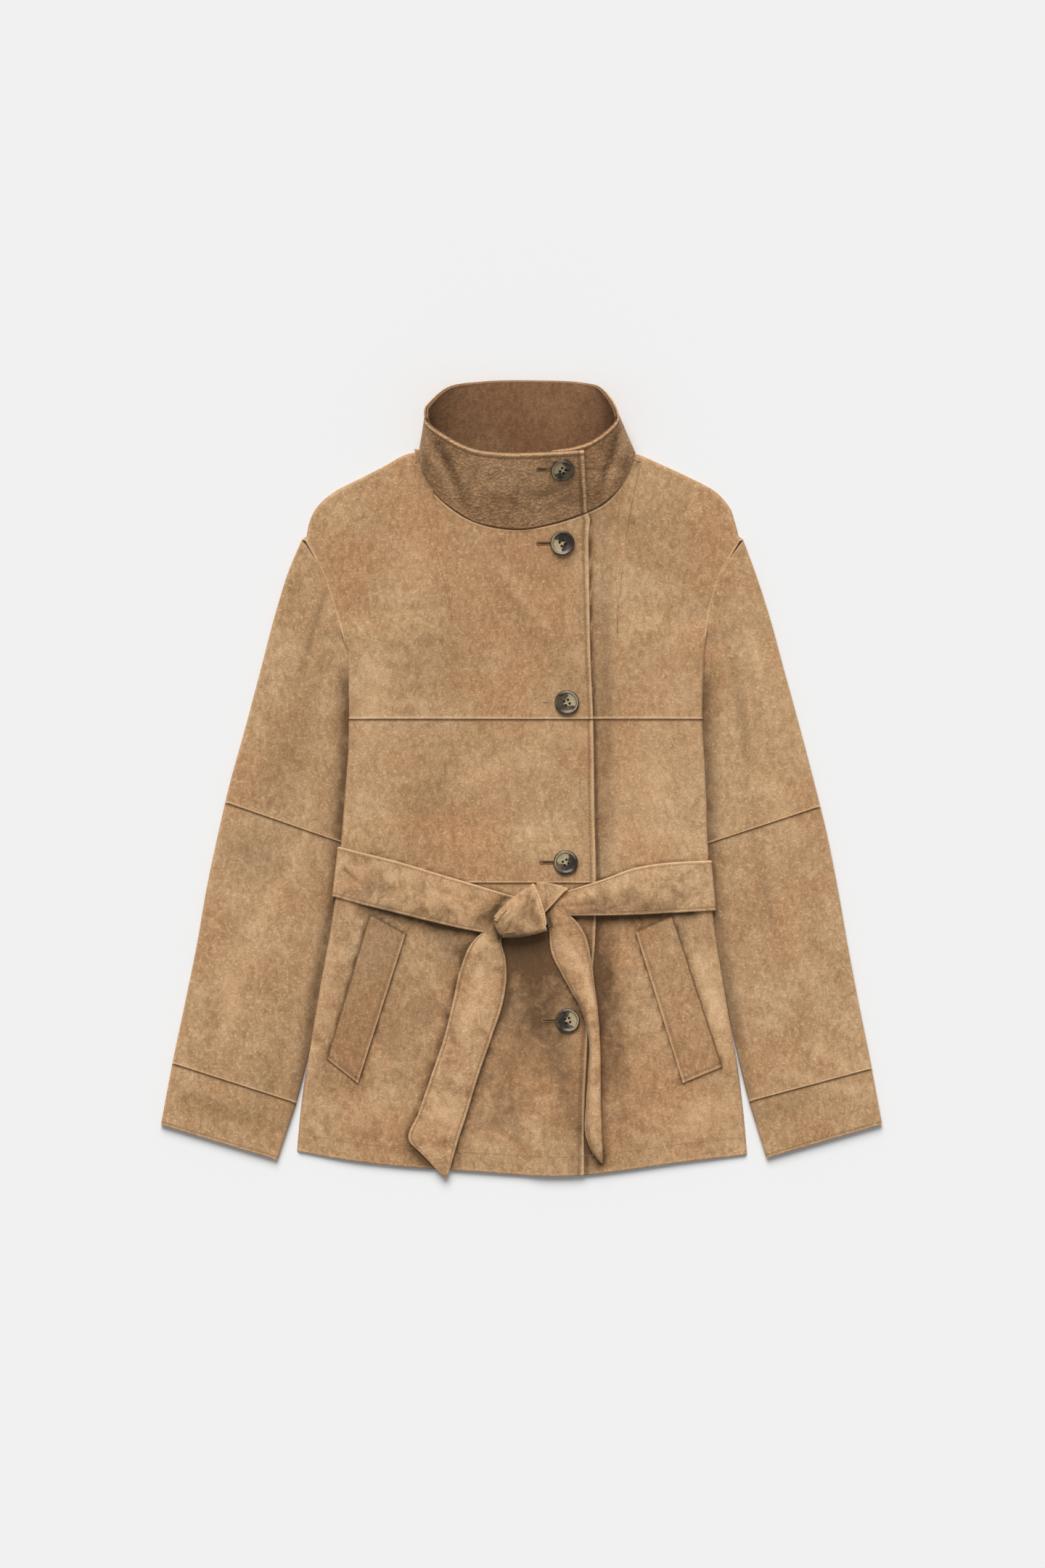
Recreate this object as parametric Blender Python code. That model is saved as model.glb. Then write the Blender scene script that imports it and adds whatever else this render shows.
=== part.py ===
"""Belted suede jacket, laid flat with its collar held open.

Everything below is stated in millimetres and turned into metres when a mesh is made.
X runs across the jacket, Y from hem to collar and Z up from the surface it lies on.
Right and left are the wearer's, so the right front is on the -X side.
"""

import math

import bmesh
import bpy
import numpy as np
from mathutils import Vector

MM = 0.001

# Suede
WALL = 1.5              # one layer of suede
BELT_WALL = 2.0         # the belt is two thin layers sewn together
SEAM = 0.3              # space kept between two pieces
ROLL = 4.0              # radius of the fold along a side or shoulder
ROLL_LENGTH = ROLL * math.pi / 2
ROLL_STEPS = 3
SLEEVE_FLAT = 3.4       # height of a sleeve where the body lies on it
SLEEVE_LOFT = 6.4       # height of a sleeve that lies free
BODY_LIFT = SLEEVE_FLAT + SEAM
BELT_LIFT = BELT_WALL + 0.8
LAP = 35.0              # width of the lap under the front edge
LAP_LIFT = WALL + 2 * SEAM

# Buttons
BUTTON_RADIUS = 12.5
BUTTON_THICK = 3.6
BUTTON_RIM = 2.2
BUTTON_DISH = 0.9
BUTTON_HOLE_RADIUS = 1.0
BUTTON_HOLE_SPREAD = 1.9
BUTTON_LAY = 0.6        # space under a button

SIDES = {"right": -1, "left": 1}

# Edge of the body at each height: y, x on the right side, x on the left side
SIDE_EDGE = [
    (129.5, -177.2, 186.8), (60.7, -175.8, 184.6), (17.0, -177.3, 186.8), (-22.0, -180.4, 188.7),
    (-63.7, -183.6, 189.9), (-122.8, -189.8, 193.5), (-227.2, -207.7, 209.1), (-287.3, -217.6, 219.3),
    (-325.0, -223.6, 224.6), (-382.0, -229.1, 230.1),
]
# Outer fold of the sleeve at each height: y, right, left
SLEEVE_OUTER = [
    (243.3, -224.2, 226.5), (216.8, -235.7, 236.4), (172.4, -249.8, 251.2), (113.2, -265.3, 267.5),
    (54.0, -280.8, 283.8), (-5.2, -297.1, 299.3), (-49.6, -307.5, 310.4), (-108.8, -320.1, 322.3),
    (-168.0, -330.4, 332.6), (-227.2, -342.3, 343.7), (-286.4, -354.8, 355.6), (-352.2, -367.4, 367.4),
]
# Inner fold of the sleeve, under the body as far as -265: y, right, left
SLEEVE_INNER = [
    (117.0, -132.0, 140.0), (54.0, -143.0, 151.0), (-64.0, -171.0, 178.0), (-160.0, -192.5, 196.5),
    (-265.0, -213.0, 216.0), (-330.6, -229.4, 231.9), (-388.0, -248.5, 249.5),
]
# Seam from the shoulder down to the underarm: y, right, left
ARMHOLE = [
    (243.3, -224.2, 226.5), (229.0, -214.0, 216.0), (214.1, -205.1, 206.5), (183.5, -194.1, 195.5),
    (153.0, -184.7, 189.5), (129.5, -177.2, 186.8),
]
# Shoulder fold from the neck outwards: x, y for the right, then x, y for the left
SHOULDER = [
    (-105.5, 334.6, 116.3, 332.8), (-122.5, 328.6, 124.7, 328.6), (-136.5, 320.4, 142.5, 320.4),
    (-165.4, 305.6, 174.3, 305.6), (-193.5, 290.8, 200.2, 290.8), (-209.8, 276.0, 212.8, 276.0),
    (-218.7, 261.2, 219.5, 261.2), (-224.2, 243.3, 226.5, 243.3),
]
# Neck seam across the front: x, y
NECK_SEAM = [
    (-105.5, 334.6), (-102.5, 312.0), (-94.4, 297.8), (-78.3, 280.8), (-55.0, 264.6), (-31.7, 256.6),
    (-1.2, 253.9), (29.3, 258.3), (65.2, 270.0), (83.1, 279.0), (106.4, 305.8), (115.5, 322.0),
    (116.3, 332.8),
]
# Front edge of the lap: y, x
FRONT_EDGE = [
    (332.0, 63.6), (299.0, 66.2), (268.6, 67.9), (213.9, 69.0), (129.5, 70.4), (58.5, 73.3),
    (-34.8, 74.6), (-105.8, 76.1), (-140.6, 76.1), (-267.9, 67.6), (-339.7, 64.4), (-404.0, 64.0),
]
# Hem of the front: x, y
HEM = [
    (-229.1, -379.5), (-164.7, -390.0), (-60.0, -399.0), (64.0, -403.5), (110.0, -398.0), (166.1, -390.0),
    (230.1, -383.0),
]

CHEST_SEAM_Y = 60.3
WAIST_SEAM_Y = -106.4
ELBOW_SEAM = {"right": ((-301.9, -24.3), (-174.0, -68.5)), "left": ((304.6, -28.6), (180.2, -69.5))}
CUFF_SEAM = {"right": ((-355.7, -290.0), (-229.3, -330.6)), "left": ((357.0, -295.5), (231.8, -329.0))}
CUFF_END = {"right": ((-367.4, -352.2), (-248.5, -388.0)), "left": ((367.4, -351.8), (249.5, -386.0))}

SUEDE = (0.51, 0.33, 0.18)
SUEDE_DARK = (0.40, 0.24, 0.13)
HORN = (0.09, 0.075, 0.055)


# ---------------------------------------------------------------- curves and heights

def ramp(value, start, end):
    """0 before start, 1 after end, with a soft step between them."""
    t = np.clip((np.asarray(value, float) - start) / (end - start), 0.0, 1.0)
    return t * t * (3.0 - 2.0 * t)


def slope(value, start, end):
    """0 before start, 1 after end, with a straight slope between them."""
    return np.clip((np.asarray(value, float) - start) / (end - start), 0.0, 1.0)


def smooth_line(knots, where):
    """Reads a smooth curve through the (place, value) pairs of knots."""
    knots = sorted(knots)
    place = np.array([k[0] for k in knots], float)
    value = np.array([k[1] for k in knots], float)
    steep = np.gradient(value, place)
    where = np.clip(np.asarray(where, float), place[0], place[-1])
    cell = np.clip(np.searchsorted(place, where, side="right") - 1, 0, len(place) - 2)
    span = place[cell + 1] - place[cell]
    t = (where - place[cell]) / span
    rise = value[cell] * (2 * t**3 - 3 * t**2 + 1) + value[cell + 1] * (3 * t**2 - 2 * t**3)
    bend = steep[cell] * (t**3 - 2 * t**2 + t) + steep[cell + 1] * (t**3 - t**2)
    return rise + span * bend


def table_x(table, side, y):
    """x of an edge table at height y on one side."""
    column = 1 if side == "right" else 2
    return smooth_line([(row[0], row[column]) for row in table], y)


def front_edge_x(y):
    return smooth_line(FRONT_EDGE, y)


def hem_y(x):
    return smooth_line(HEM, x)


def path(points, count):
    """count + 1 points at even steps along a smooth curve through the given points."""
    points = np.array(points, float)
    run = np.concatenate([[0.0], np.cumsum(np.linalg.norm(np.diff(points, axis=0), axis=1))])
    steps = np.linspace(0.0, run[-1], count + 1)
    columns = [smooth_line(list(zip(run, points[:, k])), steps) for k in range(points.shape[1])]
    return np.stack(columns, axis=1)


def join(*curves):
    """One curve from several that meet end to end."""
    parts = [curves[0]]
    for curve in curves[1:]:
        parts.append(curve[1:])
    return np.concatenate(parts)


def straight(start, end, count):
    t = np.linspace(0.0, 1.0, count + 1)[:, None]
    return np.array(start, float) * (1 - t) + np.array(end, float) * t


def over_sleeve(x, y):
    """1 where the body lies on a sleeve, fading to 0 beside it."""
    x = np.asarray(x, float)
    y = np.asarray(y, float)
    inner = np.where(x < 0, -table_x(SLEEVE_INNER, "right", y), table_x(SLEEVE_INNER, "left", y))
    beside = slope(np.abs(x) - inner, -62.0, -20.0)
    return beside * (1 - ramp(y, 144.0, 170.0)) * ramp(y, -325.0, -290.0)


def belt_behind_y(x):
    """Middle line of the belt behind the back."""
    return -101.5 - 0.036 * np.asarray(x, float)


def over_belt(x, y):
    return 1 - slope(np.abs(y - belt_behind_y(x)), 29.0, 58.0)


def back_floor(x, y):
    """Underside of the back panel."""
    return BODY_LIFT * over_sleeve(x, y) + BELT_LIFT * over_belt(x, y)


# Soft hollows and ridges of the front: x, y, half length, half width, direction in degrees, height
FRONT_FOLDS = [
    (-120.0, 175.0, 80.0, 22.0, 62.0, 0.9), (-150.0, 90.0, 60.0, 14.0, 100.0, -0.7),
    (-60.0, 200.0, 70.0, 24.0, 10.0, 0.7), (-95.0, -15.0, 80.0, 20.0, 12.0, 0.8),
    (-20.0, 10.0, 60.0, 18.0, -25.0, -0.6), (-130.0, -60.0, 55.0, 14.0, 25.0, 0.7),
    (30.0, -60.0, 60.0, 16.0, 8.0, -0.5), (-60.0, -230.0, 90.0, 22.0, 84.0, 0.9),
    (-10.0, -300.0, 80.0, 18.0, 95.0, -0.7), (110.0, -230.0, 90.0, 20.0, 82.0, 0.9),
    (150.0, -330.0, 60.0, 18.0, 60.0, 0.6), (120.0, 150.0, 80.0, 22.0, 112.0, 0.8),
    (165.0, 40.0, 60.0, 14.0, 85.0, -0.6), (120.0, -20.0, 70.0, 18.0, -8.0, 0.7),
]


def folds(table, x, y):
    """Sum of the long soft ridges in a fold table."""
    total = np.zeros(np.broadcast(x, y).shape)
    for at_x, at_y, half_length, half_width, direction, height in table:
        turn = math.radians(direction)
        along = (x - at_x) * math.cos(turn) + (y - at_y) * math.sin(turn)
        across = (y - at_y) * math.cos(turn) - (x - at_x) * math.sin(turn)
        total = total + height * np.exp(-((along / half_length) ** 2) - (across / half_width) ** 2)
    return total


# Rough course of the neck seam and how far the front rises beside it: x, y
NECK_LINE = [(-105.5, 330.0), (-78.3, 281.0), (-31.7, 257.0), (29.3, 258.0), (83.1, 279.0), (116.3, 330.0)]
NECK_LIFT = 4.0


def neck_rise(x, y):
    """The front lifts towards the neck seam, where the collar stands up."""
    below_seam = smooth_line(NECK_LINE, x) - y
    return NECK_LIFT * (1 - ramp(np.abs(x - 5.0), 45.0, 100.0)) * ramp(below_seam, 62.0, 2.0)


def front_top(x, y):
    """Upper face of the front that lies under the lap."""
    x = np.asarray(x, float)
    y = np.asarray(y, float)
    edge = np.where(x < 0, -table_x(SIDE_EDGE, "right", y), table_x(SIDE_EDGE, "left", y))
    inside = ramp(edge - np.abs(x), 2.0, 60.0)
    shoulder = np.where(x < 0, smooth_line([(r[0], r[1]) for r in SHOULDER], x),
                        smooth_line([(r[2], r[3]) for r in SHOULDER], x))
    below_shoulder = ramp(shoulder - y, 2.0, 50.0)
    inside = np.where(y > 129.5, np.maximum(inside, ramp(y, 129.5, 190.0)) * below_shoulder, inside)
    loft = (1.4 + folds(FRONT_FOLDS, x, y)) * inside
    return back_floor(x, y) + ROLL + loft + neck_rise(x, y)


def lap_top(x, y):
    """Upper face of the front that laps over the other one."""
    edge = front_edge_x(y)
    return front_top(x, y) + LAP_LIFT * ramp(x, edge - LAP - 32.0, edge - LAP - 4.0)


def sleeve_top(x, y):
    """Height of a sleeve, low where the body lies on it and level with the armhole seam."""
    x = np.asarray(x, float)
    y = np.asarray(y, float)
    edge = np.where(x < 0, -table_x(SIDE_EDGE, "right", y), table_x(SIDE_EDGE, "left", y))
    free = ramp(np.abs(x) - edge, 14.0, 36.0)
    free = np.maximum(free, ramp(y, 136.0, 156.0))
    free = np.maximum(free, ramp(-y, 268.0, 300.0))
    return SLEEVE_FLAT + (SLEEVE_LOFT - SLEEVE_FLAT) * free


# ---------------------------------------------------------------- solids

def add_object(name, points, faces, colour, roughness=0.9):
    """Makes one closed solid, in metres, with its own material."""
    mesh = bpy.data.meshes.new(name)
    mesh.from_pydata([tuple(MM * c for c in p) for p in points], [], faces)
    mesh.update()
    shape = bmesh.new()
    shape.from_mesh(mesh)
    bmesh.ops.recalc_face_normals(shape, faces=shape.faces)
    bmesh.ops.triangulate(shape, faces=shape.faces)
    shape.to_mesh(mesh)
    shape.free()
    mesh.shade_smooth()
    mesh.set_sharp_from_angle(angle=math.radians(40))
    material = bpy.data.materials.new(name)
    material.use_nodes = True
    shader = material.node_tree.nodes["Principled BSDF"]
    shader.inputs["Base Color"].default_value = (*colour, 1.0)
    shader.inputs["Roughness"].default_value = roughness
    shader.inputs["Metallic"].default_value = 0.0
    mesh.materials.append(material)
    piece = bpy.data.objects.new(name, mesh)
    bpy.context.scene.collection.objects.link(piece)
    return piece


def shell(name, outer, inner, colour):
    """Closes two matching grids of points into one wall of suede."""
    rows, columns = outer.shape[:2]
    points = np.concatenate([outer.reshape(-1, 3), inner.reshape(-1, 3)])
    half = rows * columns
    faces = []
    for r in range(rows - 1):
        for c in range(columns - 1):
            a = r * columns + c
            faces.append((a, a + 1, a + columns + 1, a + columns))
            faces.append((half + a, half + a + columns, half + a + columns + 1, half + a + 1))
    rim = [(0, c) for c in range(columns)]
    rim += [(r, columns - 1) for r in range(1, rows)]
    rim += [(rows - 1, c) for c in range(columns - 2, -1, -1)]
    rim += [(r, 0) for r in range(rows - 2, 0, -1)]
    for k, (r, c) in enumerate(rim):
        next_r, next_c = rim[(k + 1) % len(rim)]
        a = r * columns + c
        b = next_r * columns + next_c
        faces.append((a, half + a, half + b, b))
    return add_object(name, points, faces, colour)


def grid_normals(grid):
    """Unit normals of a grid of points, from its neighbours."""
    down = np.gradient(grid, axis=0)
    across = np.gradient(grid, axis=1)
    normal = np.cross(across, down)
    return normal / np.linalg.norm(normal, axis=2, keepdims=True)


def share_along(curve):
    """How far along its curve each point lies, from 0 to 1."""
    run = np.concatenate([[0.0], np.cumsum(np.linalg.norm(np.diff(curve, axis=0), axis=1))])
    return run / run[-1]


def coons(left, right, bottom, top):
    """Fills four edge curves. left and right run upwards, bottom and top run to the right."""
    v = (share_along(left) + share_along(right))[:, None, None] / 2
    u = (share_along(bottom) + share_along(top))[None, :, None] / 2
    between_sides = left[:, None] * (1 - u) + right[:, None] * u
    between_ends = bottom[None] * (1 - v) + top[None] * v
    corners = (bottom[0] * (1 - u) * (1 - v) + bottom[-1] * u * (1 - v)
               + top[0] * (1 - u) * v + top[-1] * u * v)
    return between_sides + between_ends - corners


def edge_normals(curve, towards):
    """Level unit vectors square to a curve, on the side that towards points to."""
    along = np.gradient(curve, axis=0)
    square = np.stack([along[:, 1], -along[:, 0]], axis=1)
    square /= np.linalg.norm(square, axis=1, keepdims=True)
    facing = np.sum(square * np.array(towards, float), axis=1)
    return square * np.where(facing < 0, -1.0, 1.0)[:, None]


def roll_reach(turn, length):
    """How far a rolled strip reaches outwards, for its full turn in radians."""
    turn = np.maximum(turn, 1e-4)
    return length / turn * np.sin(np.minimum(turn, math.pi / 2))


def roll_strip(turn, length, step):
    """Reach, drop and tilt at one step of a rolled strip."""
    turn = np.maximum(turn, 1e-4)
    tilt = turn * step
    return length / turn * np.sin(tilt), length / turn * (1 - np.cos(tilt)), tilt


# Where two edges meet: an edge, its end, the other edge, its end
CORNERS = [
    ("left", 0, "bottom", 0), ("left", -1, "top", 0), ("right", 0, "bottom", -1), ("right", -1, "top", -1),
]


def panel(name, left, right, bottom, top, height, colour, rolls=None, wall=WALL, strip=ROLL_LENGTH):
    """A panel between four edges. rolls maps an edge to the turn at each of its points."""
    rolls = rolls or {}
    edges = {"left": (left, (-1, 0)), "right": (right, (1, 0)),
             "bottom": (bottom, (0, -1)), "top": (top, (0, 1))}
    outward = {k: edge_normals(curve, towards) for k, (curve, towards) in edges.items()}
    turns = {k: np.asarray(rolls[k], float) for k in rolls}
    inset = {k: np.array(curve) for k, (curve, _) in edges.items()}
    for k, turn in turns.items():
        inset[k] = inset[k] - outward[k] * roll_reach(turn, strip)[:, None]
    for first, at, second, own in CORNERS:
        corner = edges[first][0][at]
        for k, end in ((first, at), (second, own)):
            if k in turns:
                corner = corner - outward[k][end] * roll_reach(turns[k][end], strip)
        inset[first] = slide_end(inset[first], at, corner)
        inset[second] = slide_end(inset[second], own, corner)
    flat = coons(inset["left"], inset["right"], inset["bottom"], inset["top"])
    rows, columns = flat.shape[:2]
    reach = np.zeros((rows, columns, 2))
    drop = np.zeros((rows, columns))
    tilt = np.zeros((rows, columns, 2))
    for k, axis in (("left", 1), ("right", 1), ("bottom", 0), ("top", 0)):
        if k not in turns:
            continue
        grids = add_strips((flat, reach, drop, tilt), k, axis, turns[k], outward[k], strip)
        flat, reach, drop, tilt = grids
    x = flat[:, :, 0] + reach[:, :, 0]
    y = flat[:, :, 1] + reach[:, :, 1]
    z = height(flat[:, :, 0], flat[:, :, 1]) - drop
    outer = np.stack([x, y, z], axis=2)
    lean = np.linalg.norm(tilt, axis=2)
    level = tilt / np.maximum(lean, 1e-6)[:, :, None] * np.sin(lean)[:, :, None]
    normal = np.concatenate([level, np.cos(lean)[:, :, None]], axis=2)
    return shell(name, outer, outer - normal * wall, colour)


def slide_end(curve, at, goal):
    """Moves one end of a curve to a goal, fading along the curve."""
    t = np.linspace(0.0, 1.0, len(curve))
    weight = (1 - t) if at == 0 else t
    weight = np.clip(weight * 4 - 3, 0, 1) if len(curve) > 8 else weight
    return curve + (goal - curve[at]) * weight[:, None]


def add_strips(grids, edge, axis, turn, outward, length):
    """Adds the rolled strip beyond one edge of a grid."""
    flat, reach, drop, tilt = grids
    index = 0 if edge in ("left", "bottom") else -1
    count = flat.shape[1 - axis]
    spare = count - len(turn)
    if spare:
        lead = spare // 2 if spare % 2 == 0 else 0
        turn = np.concatenate([np.repeat(turn[:1], lead), turn, np.repeat(turn[-1:], spare - lead)])
        before = np.repeat(outward[:1], lead, 0)
        after = np.repeat(outward[-1:], spare - lead, 0)
        outward = np.concatenate([before, outward, after])
    lines = []
    for k in range(1, ROLL_STEPS + 1):
        out, down, lean = roll_strip(turn, length, k / ROLL_STEPS)
        base = np.take(flat, index, axis=axis)
        lines.append((base, np.take(reach, index, axis=axis) + outward * out[:, None],
                      np.take(drop, index, axis=axis) + down,
                      np.take(tilt, index, axis=axis) + outward * lean[:, None]))
    if index == 0:
        lines = lines[::-1]
    grown = []
    for k, grid in enumerate(grids):
        added = np.stack([line[k] for line in lines], axis=axis)
        grown.append(np.concatenate([added, grid] if index == 0 else [grid, added], axis=axis))
    return grown


# ---------------------------------------------------------------- body

def side_points(side, low, high, count):
    y = np.linspace(low, high, count + 1)
    return np.stack([table_x(SIDE_EDGE, side, y), y], axis=1)


def armhole_points(side, count):
    column = 1 if side == "right" else 2
    return path([(row[column], row[0]) for row in reversed(ARMHOLE)], count)


def shoulder_points(side, count):
    """From the end of the shoulder up to the neck."""
    at = 0 if side == "right" else 2
    return path([(row[at], row[at + 1]) for row in reversed(SHOULDER)], count)


def neck_points(low_x, high_x, count):
    """Neck seam of the fronts between two x values, in from the collar by the seam."""
    points = path(NECK_SEAM, 240)
    points = points[(points[:, 0] >= low_x - 0.4) & (points[:, 0] <= high_x + 0.4)]
    centre = np.array([5.0, 335.0])
    away = points - centre
    away /= np.linalg.norm(away, axis=1, keepdims=True)
    return path(points + away * SEAM * 2.2, count)


def front_edge_points(shift, low, high, count):
    y = np.linspace(low, high, count + 1)
    return np.stack([front_edge_x(y) + shift, y], axis=1)


def side_turns(points):
    """Full fold along the side, none along the armhole."""
    return math.pi / 2 * (1 - ramp(points[:, 1], 131.0, 150.0))


SIDE_ROWS = 3
ARMHOLE_ROWS = 6
SHOULDER_COLUMNS = 6
NECK_COLUMNS = 8
BAND_COLUMNS = 10
# Heights of the rows of points, closer together beside the belt and the sleeves' ends
MIDDLE_ROWS = [-73.0, -61.0, -49.0, -10.0, 30.0]
SKIRT_ROWS = [-345.0, -318.0, -297.0, -276.0, -235.0, -195.0, -155.0, -142.0, -129.0]


def front_yoke(side):
    """Upper front, from the shoulder to the chest seam."""
    low = CHEST_SEAM_Y + SEAM / 2
    outer = join(side_points(side, low, 129.5, SIDE_ROWS), armhole_points(side, ARMHOLE_ROWS))
    rows = len(outer) - 1
    shoulder = shoulder_points(side, SHOULDER_COLUMNS)
    shoulder_turn = np.full(SHOULDER_COLUMNS + NECK_COLUMNS + 1, 0.0)
    shoulder_turn[:SHOULDER_COLUMNS] = math.pi / 2
    shoulder_turn[SHOULDER_COLUMNS] = math.pi / 4
    if side == "right":
        neck = neck_points(-105.5, float(front_edge_x(271.0)), NECK_COLUMNS)
        shoulder[-1] = neck[0]
        top = join(shoulder, neck)
        edge = front_edge_points(0.0, low, neck[-1, 1], rows)
        top[-1] = edge[-1]
        bottom = straight(outer[0], edge[0], len(top) - 1)
        rolls = {"left": side_turns(outer), "top": shoulder_turn}
        return panel("front_right_yoke", outer, edge, bottom, top, lap_top, SUEDE, rolls)
    neck = neck_points(33.0, 116.3, NECK_COLUMNS)
    shoulder[-1] = neck[-1]
    top = join(neck, shoulder[::-1])
    edge = front_edge_points(-LAP, low, neck[0, 1], rows)
    top[0] = edge[-1]
    bottom = straight(edge[0], outer[0], len(top) - 1)
    rolls = {"right": side_turns(outer), "top": shoulder_turn[::-1]}
    return panel("front_left_yoke", edge, outer, bottom, top, front_top, SUEDE, rolls)


def front_edge_rows(shift, heights):
    return np.stack([front_edge_x(heights) + shift, heights], axis=1)


def front_band(side, name, low, high, inner_rows):
    """A stretch of the front between two level seams, or down to the hem."""
    high -= SEAM / 2
    shift = 0.0 if side == "right" else -LAP
    if low is None:
        low_side = float(hem_y(table_x(SIDE_EDGE, side, -382.0)))
        low_middle = float(hem_y(float(front_edge_x(-400.0)) + shift))
    else:
        low_side = low_middle = low + SEAM / 2
    outer_heights = np.array([low_side, *inner_rows, high])
    outer = np.stack([table_x(SIDE_EDGE, side, outer_heights), outer_heights], axis=1)
    edge = front_edge_rows(shift, np.array([low_middle, *inner_rows, high]))
    if side == "right":
        left, right, height = outer, edge, lap_top
    else:
        left, right, height = edge, outer, front_top
    bottom = straight(left[0], right[0], BAND_COLUMNS)
    if low is None:
        bottom[:, 1] = hem_y(bottom[:, 0])
    top = straight(left[-1], right[-1], BAND_COLUMNS)
    turn = np.full(len(outer), math.pi / 2)
    roll_edge = "left" if side == "right" else "right"
    return panel(name, left, right, bottom, top, height, SUEDE, {roll_edge: turn})


BACK_INSET = WALL + 2.1       # the back ends inside the fold of the front
BACK_SHOULDER_INSET = WALL + 3.5
BACK_ARMHOLE_INSET = 1.5
BACK_NECK = [
    (-101.0, 322.0), (-84.0, 319.0), (-45.0, 316.5), (5.0, 315.0), (55.0, 316.5), (95.0, 319.0),
    (111.0, 321.5),
]


def back():
    """Back panel in one piece, on the surface, lifted over the belt and the sleeves."""
    heights = np.array([-376.0, *SKIRT_ROWS, *MIDDLE_ROWS, 70.0, 105.0, 129.5])
    sides = {}
    tops = {}
    for side, inward in (("right", 1), ("left", -1)):
        edge_x = table_x(SIDE_EDGE, side, heights)
        slant = (belt_behind_y(edge_x) - belt_behind_y(0.0)) * over_belt(0.0, heights)
        sides[side] = np.stack([edge_x + inward * BACK_INSET, heights + slant], axis=1)
        armhole = armhole_points(side, 5)
        armhole[-1] += 0.25 * (armhole[-2] - armhole[-1])
        high = ramp(armhole[:, 1], 150.0, 170.0)
        armhole[:, 0] += inward * (BACK_INSET * (1 - high) + BACK_ARMHOLE_INSET * high)
        shoulder = shoulder_points(side, 4)
        shoulder = shoulder + edge_normals(shoulder, (0, -1)) * BACK_SHOULDER_INSET
        shoulder[0] = armhole[-1]
        tops[side] = (armhole, shoulder)
    neck = path(BACK_NECK, 8)
    tops["right"][1][-1] = neck[0]
    tops["left"][1][-1] = neck[-1]
    top = join(tops["right"][1], neck, tops["left"][1][::-1])
    share = np.array([0.0, 0.045, 0.095, 0.15, 0.21])
    share = np.concatenate([share, np.linspace(0.21, 0.79, 9)[1:-1], 1 - share[::-1]])[None, :, None]
    lower = sides["right"][:, None] * (1 - share) + sides["left"][:, None] * share
    lower[0, :, 1] = hem_y(lower[0, :, 0]) + 3.0
    upper = coons(tops["right"][0], tops["left"][0], lower[-1], top)
    flat = np.concatenate([lower, upper[1:]])
    floor = back_floor(flat[:, :, 0], flat[:, :, 1])[:, :, None]
    upper = np.concatenate([flat, floor + WALL], axis=2)
    shell("back", upper, np.concatenate([flat, floor], axis=2), SUEDE_DARK)


# ---------------------------------------------------------------- sleeves

TUBE_TOP = 7
TUBE_FOLD = 4
SEAM_FROM_FOLD = 0.16        # share of the width from the inner fold to the seam underneath


def tube(name, inner_edge, outer_edge, start, end, colour, bulge=None):
    """Flat tube of suede, open along a seam underneath. Edges and ends are curves on the floor plan."""
    footprint = coons(inner_edge, outer_edge, start, end)
    rows = len(inner_edge)
    layers = []
    for offset in (0.0, WALL):
        loops = []
        for r in range(rows):
            line = footprint[r]
            across = line[-1] - line[0]
            width = np.linalg.norm(across)
            across /= width
            share = np.linalg.norm(line - line[0], axis=1) / width
            low_end = float(sleeve_top(*line[0])) / 2
            high_end = float(sleeve_top(*line[-1])) / 2
            loops.append(tube_loop(line, across, width, share, low_end, high_end, offset, bulge))
        layers.append(np.array(loops))
    return shell(name, layers[0], layers[1], colour)


def tube_loop(line, across, width, share, inner_radius, outer_radius, offset, bulge):
    """One section: underneath from the seam inwards, over the inner fold, across the top and back."""
    first = inner_radius / width
    last = 1 - outer_radius / width

    def place(s):
        return np.array([np.interp(s, share, line[:, 0]), np.interp(s, share, line[:, 1])])

    points = []
    gap = SEAM / 2 / width
    for s in np.linspace(SEAM_FROM_FOLD - gap, first, 3):
        points.append((*place(s), offset))
    for k in range(1, TUBE_FOLD + 1):
        turn = math.pi * k / TUBE_FOLD
        out = -across * (inner_radius - offset) * math.sin(turn)
        centre = place(first)
        points.append((*(centre + out), inner_radius - (inner_radius - offset) * math.cos(turn)))
    for s in np.linspace(first, last, TUBE_TOP + 1)[1:]:
        at = place(s)
        top = float(sleeve_top(*at))
        ends = 2 * inner_radius * (1 - s) + 2 * outer_radius * s
        blend = float(ramp(min(s - first, last - s), 0.0, 0.12))
        top = ends + (top - ends) * blend
        if bulge is not None:
            top += float(bulge(*at)) * blend
        points.append((*at, top - offset))
    for k in range(1, TUBE_FOLD + 1):
        turn = math.pi * k / TUBE_FOLD
        out = across * (outer_radius - offset) * math.sin(turn)
        centre = place(last)
        points.append((*(centre + out), outer_radius + (outer_radius - offset) * math.cos(turn)))
    for s in np.linspace(last, SEAM_FROM_FOLD + gap, 5)[1:]:
        points.append((*place(s), offset))
    return np.array(points)


def edge_between(table, side, start, end, count):
    """Edge of a sleeve between two points that lie on or near it."""
    y = np.linspace(start[1], end[1], count + 1)
    x = table_x(table, side, y)
    t = np.linspace(0.0, 1.0, count + 1)
    x = x + (start[0] - x[0]) * (1 - t) + (end[0] - x[-1]) * t
    return np.stack([x, y], axis=1)


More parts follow.
